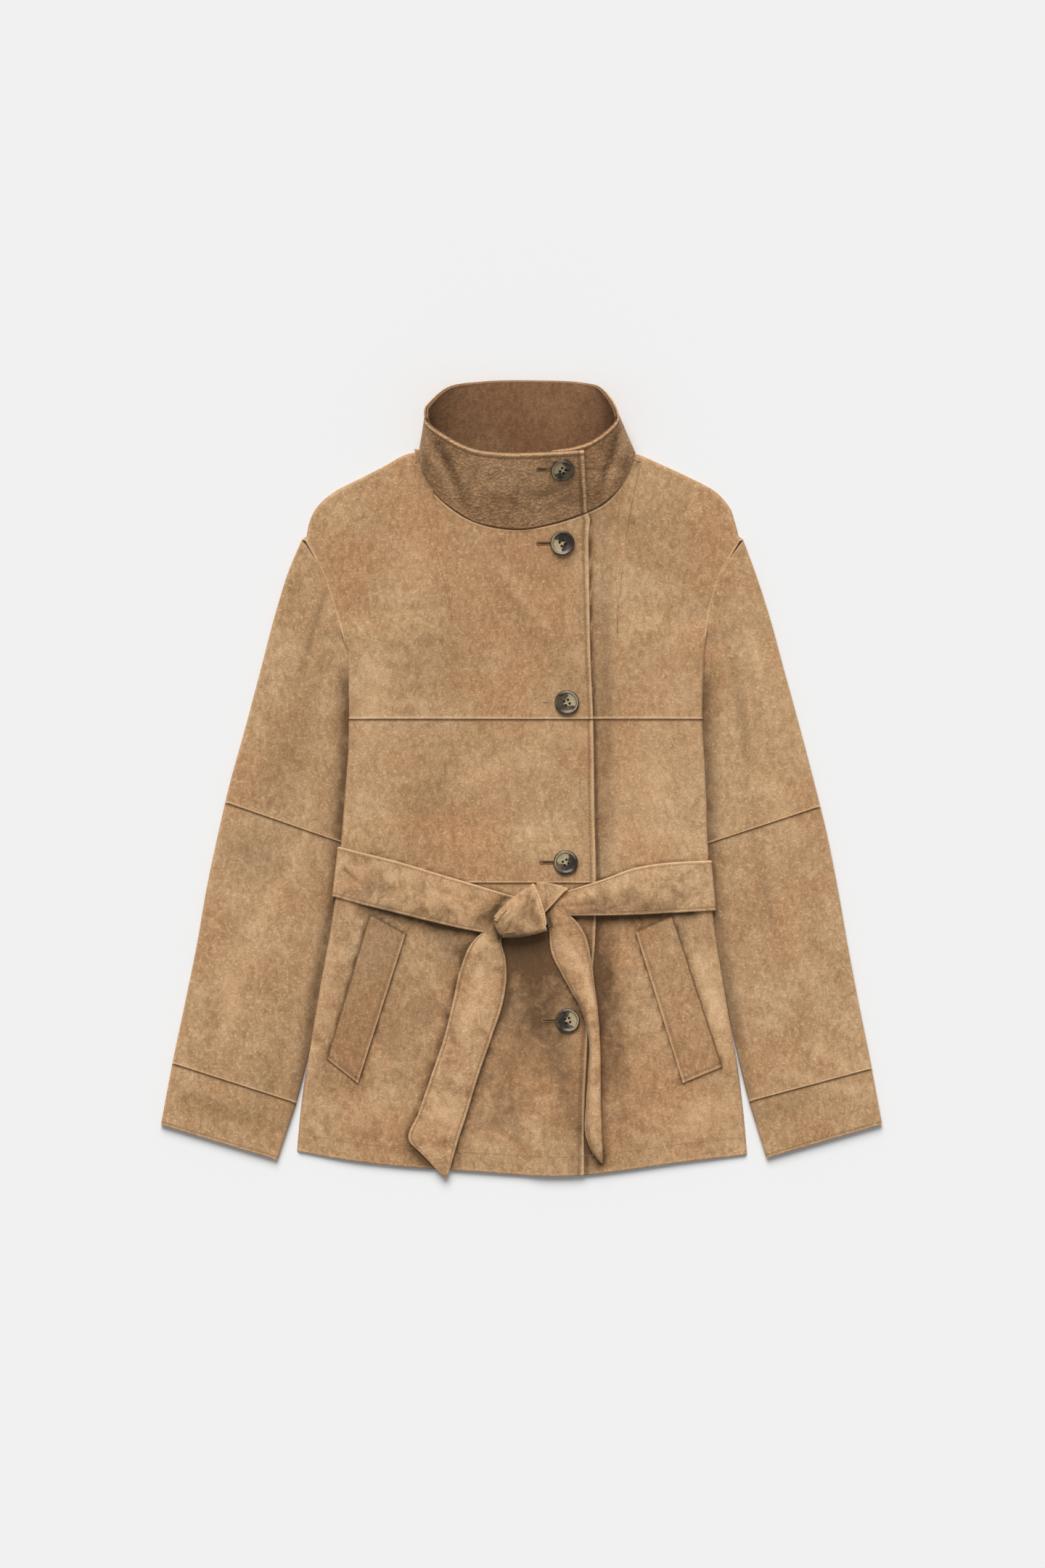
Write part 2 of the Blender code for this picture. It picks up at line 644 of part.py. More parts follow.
# Creases of the sleeves: x, y, half length, half width, direction in degrees, height
SLEEVE_FOLDS = [
    (-215.0, 60.0, 70.0, 14.0, 100.0, -0.8), (-250.0, 60.0, 90.0, 20.0, 68.0, 0.8),
    (-240.0, -60.0, 60.0, 14.0, 150.0, -0.7), (-285.0, -150.0, 90.0, 18.0, 78.0, 0.8),
    (-240.0, -220.0, 70.0, 14.0, 100.0, -0.7), (230.0, 70.0, 80.0, 16.0, 82.0, -0.8),
    (265.0, 60.0, 90.0, 20.0, 110.0, 0.8), (245.0, -150.0, 80.0, 16.0, 104.0, 0.8),
    (300.0, -200.0, 70.0, 16.0, 98.0, -0.7), (285.0, -60.0, 60.0, 14.0, 30.0, 0.7),
]


def sleeve_bulge(x, y):
    return folds(SLEEVE_FOLDS, x, y)


def sleeve(side):
    """Sleeve above and below the elbow seam, and its cuff."""
    toward = 1 if side == "left" else -1
    column = 1 if side == "right" else 2
    columns = ARMHOLE_ROWS + 4
    armhole = armhole_points(side, ARMHOLE_ROWS)
    armhole[:, 0] += toward * 3 * SEAM
    underarm = np.array([SLEEVE_INNER[0][column], SLEEVE_INNER[0][0]])
    top_seam = join(straight(underarm, armhole[0], 4), armhole)
    elbow_outer, elbow_inner = (np.array(p) for p in ELBOW_SEAM[side])
    cuff_outer, cuff_inner = (np.array(p) for p in CUFF_SEAM[side])
    end_outer, end_inner = (np.array(p) for p in CUFF_END[side])
    half = np.array([0.0, SEAM / 2])
    pieces = [
        ("upper", top_seam, straight(elbow_inner + half, elbow_outer + half, columns), 9),
        ("lower", straight(elbow_inner - half, elbow_outer - half, columns),
         straight(cuff_inner + half, cuff_outer + half, columns), 9),
    ]
    for part, start, end, rows in pieces:
        inner = edge_between(SLEEVE_INNER, side, start[0], end[0], rows)
        outer = edge_between(SLEEVE_OUTER, side, start[-1], end[-1], rows)
        tube(f"sleeve_{side}_{part}", inner, outer, start, end, SUEDE, sleeve_bulge)
    start = straight(cuff_inner - half, cuff_outer - half, columns)
    end = straight(end_inner, end_outer, columns)
    tube(f"cuff_{side}", straight(start[0], end[0], 4), straight(start[-1], end[-1], 4), start, end, SUEDE)


# ---------------------------------------------------------------- collar

# Sections of the collar from the flap's end round the neck to the end under the flap:
# x, y, z of the top edge and x, y, z of the neck seam
COLLAR = [
    (63.3, 331.5, 50.0, 67.0, 271.4, 12.4), (23.3, 329.3, 52.0, 29.2, 259.0, 12.4),
    (-17.4, 328.6, 52.0, -1.1, 254.2, 12.0), (-55.1, 334.5, 51.0, -31.4, 257.2, 11.0),
    (-78.8, 347.1, 49.0, -47.0, 261.2, 10.2), (-95.8, 358.9, 47.0, -55.9, 265.7, 9.6),
    (-98.0, 367.8, 46.0, -80.3, 282.7, 6.4), (-98.0, 373.7, 44.0, -98.8, 303.4, 4.6),
    (-95.1, 379.6, 41.0, -105.1, 335.2, 3.6), (-78.8, 395.9, 28.0, -84.0, 324.9, 0.8),
    (-42.5, 404.0, 12.0, -43.3, 318.9, 0.3), (21.8, 405.5, 8.0, 4.8, 316.7, 0.3),
    (65.5, 402.6, 12.0, 60.3, 319.7, 0.3), (83.2, 395.9, 24.0, 101.0, 326.3, 0.8),
    (94.3, 379.6, 40.0, 117.3, 333.7, 3.2), (97.3, 370.7, 45.0, 113.6, 316.7, 4.6),
    (97.3, 362.6, 46.0, 93.6, 288.6, 7.4), (92.1, 355.9, 46.0, 75.1, 275.4, 8.4),
    (75.1, 342.6, 45.5, 60.3, 269.4, 6.9), (52.9, 334.5, 46.0, 38.1, 262.0, 6.9),
    (30.7, 331.5, 46.0, 19.6, 257.8, 6.9),
]
COLLAR_STATIONS = 40
COLLAR_RISE = 4


def collar_grid(stations, rise):
    """Outer face of the collar: a row of points from seam to rim at each station."""
    sections = path(COLLAR, stations)
    t = np.linspace(0.0, 1.0, rise + 1)[None, :, None]
    return sections[:, None, 3:] * (1 - t) + sections[:, None, :3] * t


def collar():
    outer = collar_grid(COLLAR_STATIONS, COLLAR_RISE)
    normal = grid_normals(outer)
    shell("collar", outer, outer - normal * WALL, SUEDE)
    facing = outer - normal * (WALL + SEAM)
    shell("collar_facing", facing, facing - normal * WALL, SUEDE_DARK)


# ---------------------------------------------------------------- pockets

# Corners of the slanted welts, clockwise from the upper outer one: x, y
WELTS = {
    "right": [(-154.4, -137.1), (-117.5, -157.6), (-166.4, -310.5), (-198.2, -285.0)],
    "left": [(115.8, -155.0), (153.8, -139.1), (204.7, -293.2), (164.2, -310.2)],
}
WELT_ROWS = 8


def pocket_welt(side):
    """Slanted welt of a pocket, lying on the skirt."""
    upper_left, upper_right, lower_right, lower_left = WELTS[side]
    height = (lap_top if side == "right" else front_top)
    panel(f"pocket_welt_{side}", straight(lower_left, upper_left, WELT_ROWS),
          straight(lower_right, upper_right, WELT_ROWS), straight(lower_left, lower_right, 3),
          straight(upper_left, upper_right, 3), lambda x, y: height(x, y) + LAY + WALL, SUEDE_DARK)


# ---------------------------------------------------------------- belt

LAY = 0.7                # space under the welts and the free ends of the belt
BELT_LAY = 0.95          # space under the belt across the front
BELT_ACROSS = 3
BELT_SECTIONS = 16
BELT_CORNER = 3.0        # outer radius of the belt's turn at the side

# Belt across the front, from the knot outwards: upper edge x, y and lower edge x, y
BELT_FRONT = {
    "right": [
        (2.0, -121.9, -14.0, -159.0), (-25.0, -114.2, -34.0, -157.0), (-47.5, -107.4, -52.0, -154.0),
        (-87.2, -95.5, -88.5, -146.0), (-126.9, -83.6, -126.9, -136.5), (-158.0, -75.8, -161.0, -128.2),
    ],
    "left": [
        (20.0, -123.0, 26.0, -140.5), (46.3, -114.0, 55.6, -139.1), (79.3, -103.5, 83.0, -138.9),
        (116.3, -90.3, 119.0, -138.0), (145.4, -85.5, 148.0, -136.5), (168.0, -83.8, 174.0, -135.0),
    ],
}
# Tip of the belt at each side: upper x, y and lower x, y
BELT_TIP = {"right": (-186.9, -69.1, -192.8, -119.9), "left": (193.6, -82.9, 198.2, -133.9)}


def belt_turn(side):
    """The belt's way round the body's side, from the front face to the face underneath."""
    toward = -1 if side == "right" else 1
    tip = BELT_TIP[side]
    lines = []
    for t in np.linspace(0.0, 1.0, BELT_ACROSS + 1):
        x = tip[0] * (1 - t) + tip[2] * t
        y = tip[1] * (1 - t) + tip[3] * t
        middle = x - toward * BELT_CORNER
        high = float(front_top(middle - toward * 3.0, y)) + BELT_LAY + BELT_WALL
        low = float(BODY_LIFT * over_sleeve(middle, y))
        line = []
        for k in range(4):
            turn = math.pi / 2 * k / 3
            line.append((middle + toward * BELT_CORNER * math.sin(turn), y,
                         high - BELT_CORNER * (1 - math.cos(turn))))
        for k in range(4):
            turn = math.pi / 2 * k / 3
            line.append((middle + toward * BELT_CORNER * math.cos(turn), y,
                         low + BELT_CORNER * (1 - math.sin(turn))))
        lines.append(line)
    return np.array(lines).transpose(1, 0, 2)


def belt_front(side):
    """Sections across the front, from the knot to just before the side."""
    sections = path(BELT_FRONT[side], BELT_SECTIONS)
    t = np.linspace(0.0, 1.0, BELT_ACROSS + 1)[None, :, None]
    flat = sections[:, None, :2] * (1 - t) + sections[:, None, 2:] * t
    z = lap_top(flat[:, :, 0], flat[:, :, 1]) + BELT_LAY + BELT_WALL
    return np.concatenate([flat, z[:, :, None]], axis=2)


def belt_behind():
    """Sections under the back, from the right side to the left one."""
    sections = []
    right, left = BELT_TIP["right"], BELT_TIP["left"]
    reach = BELT_CORNER + 6.0
    for s in np.linspace(0.0, 1.0, 27):
        line = []
        for t in np.linspace(0.0, 1.0, BELT_ACROSS + 1):
            start_x = right[0] * (1 - t) + right[2] * t + reach
            end_x = left[0] * (1 - t) + left[2] * t - reach
            start_y = right[1] * (1 - t) + right[3] * t
            end_y = left[1] * (1 - t) + left[3] * t
            x = start_x * (1 - s) + end_x * s
            y = start_y * (1 - s) + end_y * s
            line.append((x, y, float(BODY_LIFT * over_sleeve(x, y))))
        sections.append(line)
    return np.array(sections)


def belt_band():
    """The belt from the knot round the right side, under the back and round the left side."""
    outer = np.concatenate([belt_front("right"), belt_turn("right"), belt_behind(),
                            belt_turn("left")[::-1], belt_front("left")[::-1]])
    shell("belt_band", outer, outer + grid_normals(outer) * BELT_WALL, SUEDE)


# Sections down each free end: left edge x, y, rise, two points between, right edge x, y, rise.
# A rise is counted from the belt lying on the front.
TAIL_RIGHT = [
    (-21.0, -138.0, 3.0, -16.5, -140.5, 3.6, -11.5, -144.5, 3.6, -7.0, -148.0, 3.0),
    (-33.0, -150.0, 3.4, -28.5, -154.0, 5.4, -24.0, -157.5, 5.6, -19.5, -160.6, 3.6),
    (-51.8, -168.2, 2.0, -40.0, -172.5, 4.8, -27.5, -178.0, 5.4, -15.8, -184.0, 2.0),
    (-60.5, -187.7, 0.8, -45.0, -191.0, 2.6, -29.5, -195.0, 3.0, -14.9, -198.5, 0.8),
    (-69.5, -225.0, 0.3, -53.0, -227.0, 1.4, -36.5, -229.0, 1.6, -19.5, -231.0, 0.3),
    (-77.8, -259.4, 0.0, -61.5, -259.8, 1.6, -45.5, -260.4, 1.2, -29.5, -261.0, 0.0),
    (-93.0, -305.0, 0.0, -77.0, -305.6, 1.0, -61.0, -306.4, 1.8, -45.3, -307.1, 0.0),
    (-105.0, -340.0, 0.0, -88.5, -340.5, 1.2, -72.0, -341.2, 1.0, -55.8, -342.0, 0.0),
    (-114.7, -367.9, 0.0, -98.0, -367.8, 0.8, -81.0, -367.4, 0.8, -64.0, -367.0, 0.0),
    (-100.0, -383.5, 0.0, -89.5, -383.8, 0.5, -79.0, -384.0, 0.5, -69.0, -384.0, 0.0),
    (-86.0, -398.3, 0.0, -81.5, -398.6, 0.3, -77.3, -398.6, 0.3, -73.0, -398.3, 0.0),
    (-79.5, -405.2, 0.0, -78.2, -405.9, 0.0, -76.8, -405.9, 0.0, -75.5, -405.2, 0.0),
]
TAIL_LEFT = [
    (24.5, -140.5, 3.2, 27.5, -137.5, 4.0, 31.0, -133.5, 4.0, 34.5, -129.5, 3.2),
    (27.5, -153.0, 3.2, 33.0, -148.0, 6.0, 40.0, -142.5, 6.0, 47.0, -136.5, 3.4),
    (29.6, -174.6, 0.8, 40.0, -168.5, 5.4, 51.5, -162.0, 5.8, 63.0, -154.5, 1.8),
    (41.6, -200.8, 0.0, 51.5, -197.5, 5.6, 63.0, -194.0, 6.4, 72.6, -191.0, 0.0),
    (50.0, -216.0, 0.0, 57.5, -214.6, 8.0, 69.5, -213.0, 10.0, 75.0, -211.5, 0.0),
    (59.0, -232.0, 0.0, 65.0, -232.0, 10.5, 75.0, -232.0, 12.5, 77.8, -232.0, 0.0),
    (68.6, -268.0, 0.0, 72.0, -268.0, 11.5, 79.2, -268.0, 13.0, 77.4, -268.0, 0.0),
    (67.6, -300.0, 0.0, 71.6, -300.0, 11.5, 80.0, -300.0, 13.0, 77.0, -300.0, 0.0),
    (65.4, -329.0, 0.0, 70.6, -329.0, 11.0, 80.2, -329.0, 12.5, 77.0, -329.0, 0.0),
    (65.8, -366.0, 0.0, 71.6, -366.0, 9.0, 81.8, -366.0, 10.5, 79.0, -366.0, 0.0),
    (72.5, -381.0, 0.0, 76.0, -381.0, 6.0, 82.4, -381.0, 7.0, 81.0, -381.0, 0.0),
    (79.6, -390.5, 0.0, 80.4, -390.5, 2.2, 82.6, -390.5, 2.4, 83.4, -390.5, 0.0),
]
TAIL_ROWS = 20
TAIL_ACROSS = 6


def belt_tail(side, table):
    """A free end of the belt, lying on the front in soft curves."""
    sections = path(table, TAIL_ROWS)
    rows = [path(section.reshape(4, 3), TAIL_ACROSS) for section in sections]
    outer = np.array(rows)
    outer[:, :, 2] += lap_top(outer[:, :, 0], outer[:, :, 1]) + LAY + BELT_WALL
    shell(f"belt_tail_{side}", outer, outer + grid_normals(outer) * BELT_WALL, SUEDE)


KNOT_HEIGHT = 14.4       # face of the wrap above the front
KNOT_CROWN = 3.5
PASS_HEIGHT = 10.6
KNOT_RADIUS = 5.0
# Corners of the wrap and of the pass beside it: lower left, lower right, upper right, upper left
KNOT_WRAP = [(-19.8, -161.1), (26.5, -153.9), (12.7, -106.1), (-28.5, -140.5)]
KNOT_PASS = [(16.5, -131.0), (22.5, -137.9), (47.7, -111.4), (15.6, -104.2)]
KNOT_TURN = math.radians(125)


def belt_knot():
    """The wrap of the belt round itself, folded over at its upper and lower edges."""
    low_left, low_right, high_right, high_left = KNOT_WRAP
    centre_x = (low_left[0] + low_right[0] + high_right[0] + high_left[0]) / 4
    centre_y = (low_left[1] + low_right[1] + high_right[1] + high_left[1]) / 4
    base = float(lap_top(20.0, -130.0))

    def face(x, y):
        away = ((x - centre_x) / 34.0) ** 2 + ((y - centre_y) / 30.0) ** 2
        return base + KNOT_HEIGHT + KNOT_CROWN * np.exp(-away)

    turn = np.linspace(0.75, 1.0, 8) * KNOT_TURN
    panel("belt_knot", straight(low_left, high_left, 6), straight(low_right, high_right, 6),
          straight(low_left, low_right, 7), straight(high_left, high_right, 7), face, SUEDE,
          {"top": turn, "bottom": turn}, BELT_WALL, KNOT_RADIUS * KNOT_TURN)


def belt_pass():
    """The stretch that comes out beside the wrap and turns down over the left side of the belt."""
    low_left, low_right, high_right, high_left = KNOT_PASS
    base = float(lap_top(20.0, -130.0))

    def face(x, y):
        return base + PASS_HEIGHT - 3.4 * slope(x, 16.0, 48.0)

    panel("belt_pass", straight(low_left, high_left, 4), straight(low_right, high_right, 4),
          straight(low_left, low_right, 4), straight(high_left, high_right, 4), face, SUEDE,
          {"top": np.full(5, math.radians(80))}, BELT_WALL, 2.8 * math.radians(80))


# ---------------------------------------------------------------- buttons

# Centres of the buttons on the front, from the chest down: x, y
BUTTONS = [(41.7, 239.6), (46.3, 77.7), (45.0, -85.0), (47.0, -245.9)]
COLLAR_BUTTON = (41.9, 313.4)
# Turned face of a button: radius, height above its back
BUTTON_PROFILE = [
    (BUTTON_RADIUS - BUTTON_RIM - 2.2, BUTTON_THICK - BUTTON_DISH),
    (BUTTON_RADIUS - BUTTON_RIM, BUTTON_THICK), (BUTTON_RADIUS - 0.8, BUTTON_THICK - 0.3),
    (BUTTON_RADIUS, BUTTON_THICK - 1.2), (BUTTON_RADIUS - 1.6, 0.5), (BUTTON_RADIUS - 4.0, 0.0),
]
BUTTON_SIDES = 24
HOLE_SIDES = 6


def button_surface():
    """Where the top button sits on the collar, and the way it faces."""
    grid = collar_grid(160, 24)
    normal = grid_normals(grid)
    near = np.linalg.norm(grid[:, :, :2] - np.array(COLLAR_BUTTON), axis=2)
    near = near + 1000.0 * (np.arange(161) > 60)[:, None]
    row, column = np.unravel_index(np.argmin(near), near.shape)
    return grid[row, column], normal[row, column]


def turned_disc():
    """The button's body as a ring of points for each row of its profile."""
    shape = bmesh.new()
    rings = []
    for radius, height in BUTTON_PROFILE:
        ring = []
        for k in range(BUTTON_SIDES):
            turn = 2 * math.pi * k / BUTTON_SIDES
            at = (MM * radius * math.cos(turn), MM * radius * math.sin(turn), MM * height)
            ring.append(shape.verts.new(at))
        rings.append(ring)
    for upper, lower in zip(rings, rings[1:]):
        for k in range(BUTTON_SIDES):
            nxt = (k + 1) % BUTTON_SIDES
            shape.faces.new((upper[k], lower[k], lower[nxt], upper[nxt]))
    shape.faces.new(rings[0])
    shape.faces.new(rings[-1][::-1])
    bmesh.ops.recalc_face_normals(shape, faces=shape.faces)
    return shape


def button_mesh():
    """One disc with four sewing holes cut through it."""
    disc = bpy.data.meshes.new("button_disc")
    shape = turned_disc()
    shape.to_mesh(disc)
    shape.free()
    holes = bmesh.new()
    for dx in (-1, 1):
        for dy in (-1, 1):
            radius = MM * BUTTON_HOLE_RADIUS
            made = bmesh.ops.create_cone(holes, cap_ends=True, segments=HOLE_SIDES,
                                         depth=MM * 3 * BUTTON_THICK, radius1=radius, radius2=radius)
            shift = (MM * dx * BUTTON_HOLE_SPREAD, MM * dy * BUTTON_HOLE_SPREAD, 0.0)
            bmesh.ops.translate(holes, verts=made["verts"], vec=shift)
    drill_mesh = bpy.data.meshes.new("button_drill")
    holes.to_mesh(drill_mesh)
    holes.free()
    drill = bpy.data.objects.new("button_drill", drill_mesh)
    drill.hide_render = True
    drill.display_type = "WIRE"
    bpy.context.scene.collection.objects.link(drill)
    material = bpy.data.materials.new("horn")
    material.use_nodes = True
    shader = material.node_tree.nodes["Principled BSDF"]
    shader.inputs["Base Color"].default_value = (*HORN, 1.0)
    shader.inputs["Roughness"].default_value = 0.25
    shader.inputs["Metallic"].default_value = 0.0
    disc.materials.append(material)
    return disc, drill


def buttons():
    disc, drill = button_mesh()
    seats = [button_surface()]
    for x, y in BUTTONS:
        seats.append((np.array([x, y, float(lap_top(x, y))]), np.array([0.0, 0.0, 1.0])))
    for number, (seat, facing) in enumerate(seats, start=1):
        piece = bpy.data.objects.new(f"button_{number}", disc)
        bpy.context.scene.collection.objects.link(piece)
        cut = piece.modifiers.new("sewing holes", "BOOLEAN")
        cut.object = drill
        turn = Vector(facing).to_track_quat("Z", "Y")
        piece.rotation_mode = "QUATERNION"
        piece.rotation_quaternion = turn
        piece.location = [MM * c for c in seat + facing * BUTTON_LAY]


# ---------------------------------------------------------------- the jacket

def clear_scene():
    for old in list(bpy.data.objects):
        bpy.data.objects.remove(old, do_unlink=True)


def build():
    clear_scene()
    back()
    for side in SIDES:
        front_yoke(side)
        front_band(side, f"front_{side}_middle", WAIST_SEAM_Y, CHEST_SEAM_Y, MIDDLE_ROWS)
        front_band(side, f"front_{side}_skirt", None, WAIST_SEAM_Y, SKIRT_ROWS)
        sleeve(side)
        pocket_welt(side)
    collar()
    belt_band()
    belt_tail("right", TAIL_RIGHT)
    belt_tail("left", TAIL_LEFT)
    belt_knot()
    belt_pass()
    buttons()


build()
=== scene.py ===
# %% [markdown]
# # A belted suede jacket, laid flat
# The jacket lies buttoned on a pale floor, with its funnel collar held open and its belt tied in front.
# Each piece the maker cut is a thin shell of suede, shaped by the same curves as its solid in the frame,
# so that seams, folds and the lie of one layer on another stay where they were settled there.

# %% Frame
import math

import bmesh
import bpy
import numpy as np
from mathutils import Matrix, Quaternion, Vector


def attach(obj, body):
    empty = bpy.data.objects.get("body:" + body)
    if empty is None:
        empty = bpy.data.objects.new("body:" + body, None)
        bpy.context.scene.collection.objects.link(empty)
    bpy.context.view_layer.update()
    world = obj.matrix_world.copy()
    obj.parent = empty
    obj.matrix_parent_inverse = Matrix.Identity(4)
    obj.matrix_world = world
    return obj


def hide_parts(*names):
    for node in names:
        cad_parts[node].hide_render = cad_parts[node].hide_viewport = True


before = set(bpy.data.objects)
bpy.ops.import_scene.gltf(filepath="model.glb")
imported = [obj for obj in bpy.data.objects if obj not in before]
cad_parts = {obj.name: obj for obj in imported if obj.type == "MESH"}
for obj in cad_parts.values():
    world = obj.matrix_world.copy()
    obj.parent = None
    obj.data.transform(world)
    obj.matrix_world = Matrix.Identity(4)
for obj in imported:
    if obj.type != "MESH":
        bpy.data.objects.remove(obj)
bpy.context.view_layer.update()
MM = 0.001

# %% [markdown]
# ## Floor, camera and light
# The camera looks straight down through a long lens, so that the raised collar hardly leans outwards.
# One broad soft light comes from beyond the collar, and pale walls all round fill in the shadows.

# %% Floor, camera and light
FLOOR_SIDE = 4.0
CAMERA_HEIGHT = 6.0
VIEW_CENTRE = (0.0011, -0.0052)
VIEW_TALL = 1.598
# The broad light: degrees above the floor, degrees it is turned and degrees across, and its strength
KEY_HEIGHT, KEY_TURN, KEY_ACROSS, KEY_STRENGTH = 42, 8, 42, 3.1
FILL_STRENGTH = 0.36


def placed(name, data):
    """A new object in the scene."""
    piece = bpy.data.objects.new(name, data)
    bpy.context.scene.collection.objects.link(piece)
    return piece


def mesh_of(name, points, faces):
    mesh = bpy.data.meshes.new(name)
    mesh.from_pydata(points, [], faces)
    mesh.update()
    return mesh


half = FLOOR_SIDE / 2
floor_corners = [(-half, -half, 0), (half, -half, 0), (half, half, 0), (-half, half, 0)]
floor = placed("floor", mesh_of("floor", floor_corners, [(0, 1, 2, 3)]))
lens = bpy.data.cameras.new("camera")
lens.sensor_width = 36
lens.lens = lens.sensor_width * CAMERA_HEIGHT / VIEW_TALL
camera = placed("camera", lens)
camera.location = (*VIEW_CENTRE, CAMERA_HEIGHT)
lamp = bpy.data.lights.new("key", "SUN")
lamp.angle = math.radians(KEY_ACROSS)
lamp.energy = KEY_STRENGTH
placed("key", lamp).rotation_euler = (math.radians(KEY_HEIGHT - 90), 0, math.radians(KEY_TURN))
scene = bpy.context.scene
scene.camera = camera
scene.view_settings.view_transform = "Standard"
scene.world = bpy.data.worlds.new("studio")
scene.world.use_nodes = True
fill = scene.world.node_tree.nodes["Background"].inputs
fill["Color"].default_value = (1, 1, 1, 1)
fill["Strength"].default_value = FILL_STRENGTH
print("lens in mm:", round(lens.lens, 1))

# %% [markdown]
# ## Curves
# Edges are smooth lines through a few measured points. They are in millimetres, seen from above, with x
# towards the wearer's left and y towards the collar.

# %% Curves
def slope(value, start, end):
    """0 before start, 1 after end and straight between them."""
    return np.clip((np.asarray(value, float) - start) / (end - start), 0, 1)


def ramp(value, start, end):
    """The same with a soft start and end."""
    t = slope(value, start, end)
    return t * t * (3 - 2 * t)


def bump(value, centre, width):
    return np.exp(-(((value - centre) / width) ** 2))


def blend(first, second, t):
    return first * (1 - t) + second * t


def unit(vectors):
    return vectors / np.maximum(np.linalg.norm(vectors, axis=-1, keepdims=True), 1e-9)


def on_plan(work, grid):
    """Works something out from the x and y of a grid's points."""
    return work(grid[:, :, 0], grid[:, :, 1])


def smooth_line(knots, where):
    """Reads a smooth curve through the (place, value) pairs of knots."""
    place, value = np.array(sorted(knots), float).T
    steep = np.gradient(value, place)
    where = np.clip(np.asarray(where, float), place[0], place[-1])
    cell = np.clip(np.searchsorted(place, where, side="right") - 1, 0, len(place) - 2)
    span = place[cell + 1] - place[cell]
    t = (where - place[cell]) / span
    rise = value[cell] * (2 * t**3 - 3 * t**2 + 1) + value[cell + 1] * (3 * t**2 - 2 * t**3)
    bend = steep[cell] * (t**3 - 2 * t**2 + t) + steep[cell + 1] * (t**3 - t**2)
    return rise + span * bend


def run_of(points):
    return np.concatenate([[0], np.cumsum(np.linalg.norm(np.diff(points, axis=0), axis=1))])


def read_off(run, values, at):
    """Reads columns of values, known at the distances of run, at other distances."""
    return np.stack([np.interp(at, run, column) for column in values.T], axis=1)


def at_shares(curve, shares):
    """Points of a polyline at shares of its length."""
    run = run_of(curve)
    return read_off(run, curve, shares * run[-1])


def path(points, count=160):
    """count + 1 points at even steps along a smooth curve through the given points."""
    points = np.array(points, float)
    run = run_of(points)
    steps = np.linspace(0, run[-1], count + 1)
    return np.stack([smooth_line(list(zip(run, column)), steps) for column in points.T], axis=1)


def straight(start, end):
    return np.array([start, end], float)


def join(*curves):
    return np.concatenate([curves[0], *[curve[1:] for curve in curves[1:]]])


def averaged(curve, reach):
    """Rounds the corners of a curve by averaging each point with its neighbours."""
    padded = np.pad(curve, ((reach, reach), (0, 0)), mode="reflect", reflect_type="odd")
    shares = np.full(2 * reach + 1, 1 / (2 * reach + 1))
    return np.stack([np.convolve(column, shares, "valid") for column in padded.T], axis=1)


NEAR_EDGE = np.array([0, 0.35, 0.8, 1.4, 2.1, 2.9, 3.8, 4.5, 5.2, 6, 7.5, 9.5])


def shares_for(length, step, first=True, last=True):
    """Shares of a length in mm, close together beside the ends that carry a seam."""
    low, high = (NEAR_EDGE if close else NEAR_EDGE[:1] for close in (first, last))
    count = max(2, round((length - low[-1] - high[-1]) / step))
    middle = np.linspace(low[-1], length - high[-1], count + 1)
    return np.concatenate([low[:-1], middle, length - high[::-1][1:]]) / length


print("places across a 100 mm panel:", len(shares_for(100, 4)))

# %% [markdown]
# ## Outline and layers
# These are the frame's own curves and heights. The body lies on the sleeves and on the belt behind it,
# so the underside of the back steps up over both, and the front follows.

# %% Outline and layers
# Thicknesses, gaps and heights of the layers
WALL = 1.5
BELT_WALL = 2.0
SEAM = 0.3
ROLL = 4.0
ROLL_LENGTH = ROLL * math.pi / 2
PANEL_WALL = 1.1
BODY_LIFT = 3.7
BELT_LIFT = 2.8
LAP = 35.0
LAP_LIFT = 2.1
# How far a welt or a free end of the belt lies above the front
LAY = 0.7
FRONT_LOFT = 1.4
NECK_RISE = 4.0
SLEEVE_FLAT = 3.4
SLEEVE_LOFT = 6.4
CHEST_SEAM_Y = 60.3
WAIST_SEAM_Y = -106.4
UNDERARM_Y = 129.5
# The way outwards and the column in the tables of each side
SIDES = {"right": -1, "left": 1}
COLUMN = {"right": 1, "left": 2}
# Edge of the body: y, x on the right side, x on the left side
SIDE_EDGE = [
    (129.5, -177.2, 186.8), (60.7, -175.8, 184.6), (17, -177.3, 186.8), (-22, -180.4, 188.7),
    (-63.7, -183.6, 189.9), (-122.8, -189.8, 193.5), (-227.2, -207.7, 209.1), (-287.3, -217.6, 219.3),
    (-325, -223.6, 224.6), (-382, -229.1, 230.1),
]
# Outer and inner fold of the sleeve: y, right, left
SLEEVE_OUTER = [
    (243.3, -224.2, 226.5), (216.8, -235.7, 236.4), (172.4, -249.8, 251.2), (113.2, -265.3, 267.5),
    (54, -280.8, 283.8), (-5.2, -297.1, 299.3), (-49.6, -307.5, 310.4), (-108.8, -320.1, 322.3),
    (-168, -330.4, 332.6), (-227.2, -342.3, 343.7), (-286.4, -354.8, 355.6), (-352.2, -367.4, 367.4),
]
SLEEVE_INNER = [
    (117, -132, 140), (54, -143, 151), (-64, -171, 178), (-160, -192.5, 196.5), (-265, -213, 216),
    (-330.6, -229.4, 231.9), (-388, -248.5, 249.5),
]
# Seam from the shoulder down to the underarm: y, right, left
ARMHOLE = [
    (243.3, -224.2, 226.5), (229, -214, 216), (214.1, -205.1, 206.5), (183.5, -194.1, 195.5),
    (153, -184.7, 189.5), (129.5, -177.2, 186.8),
]
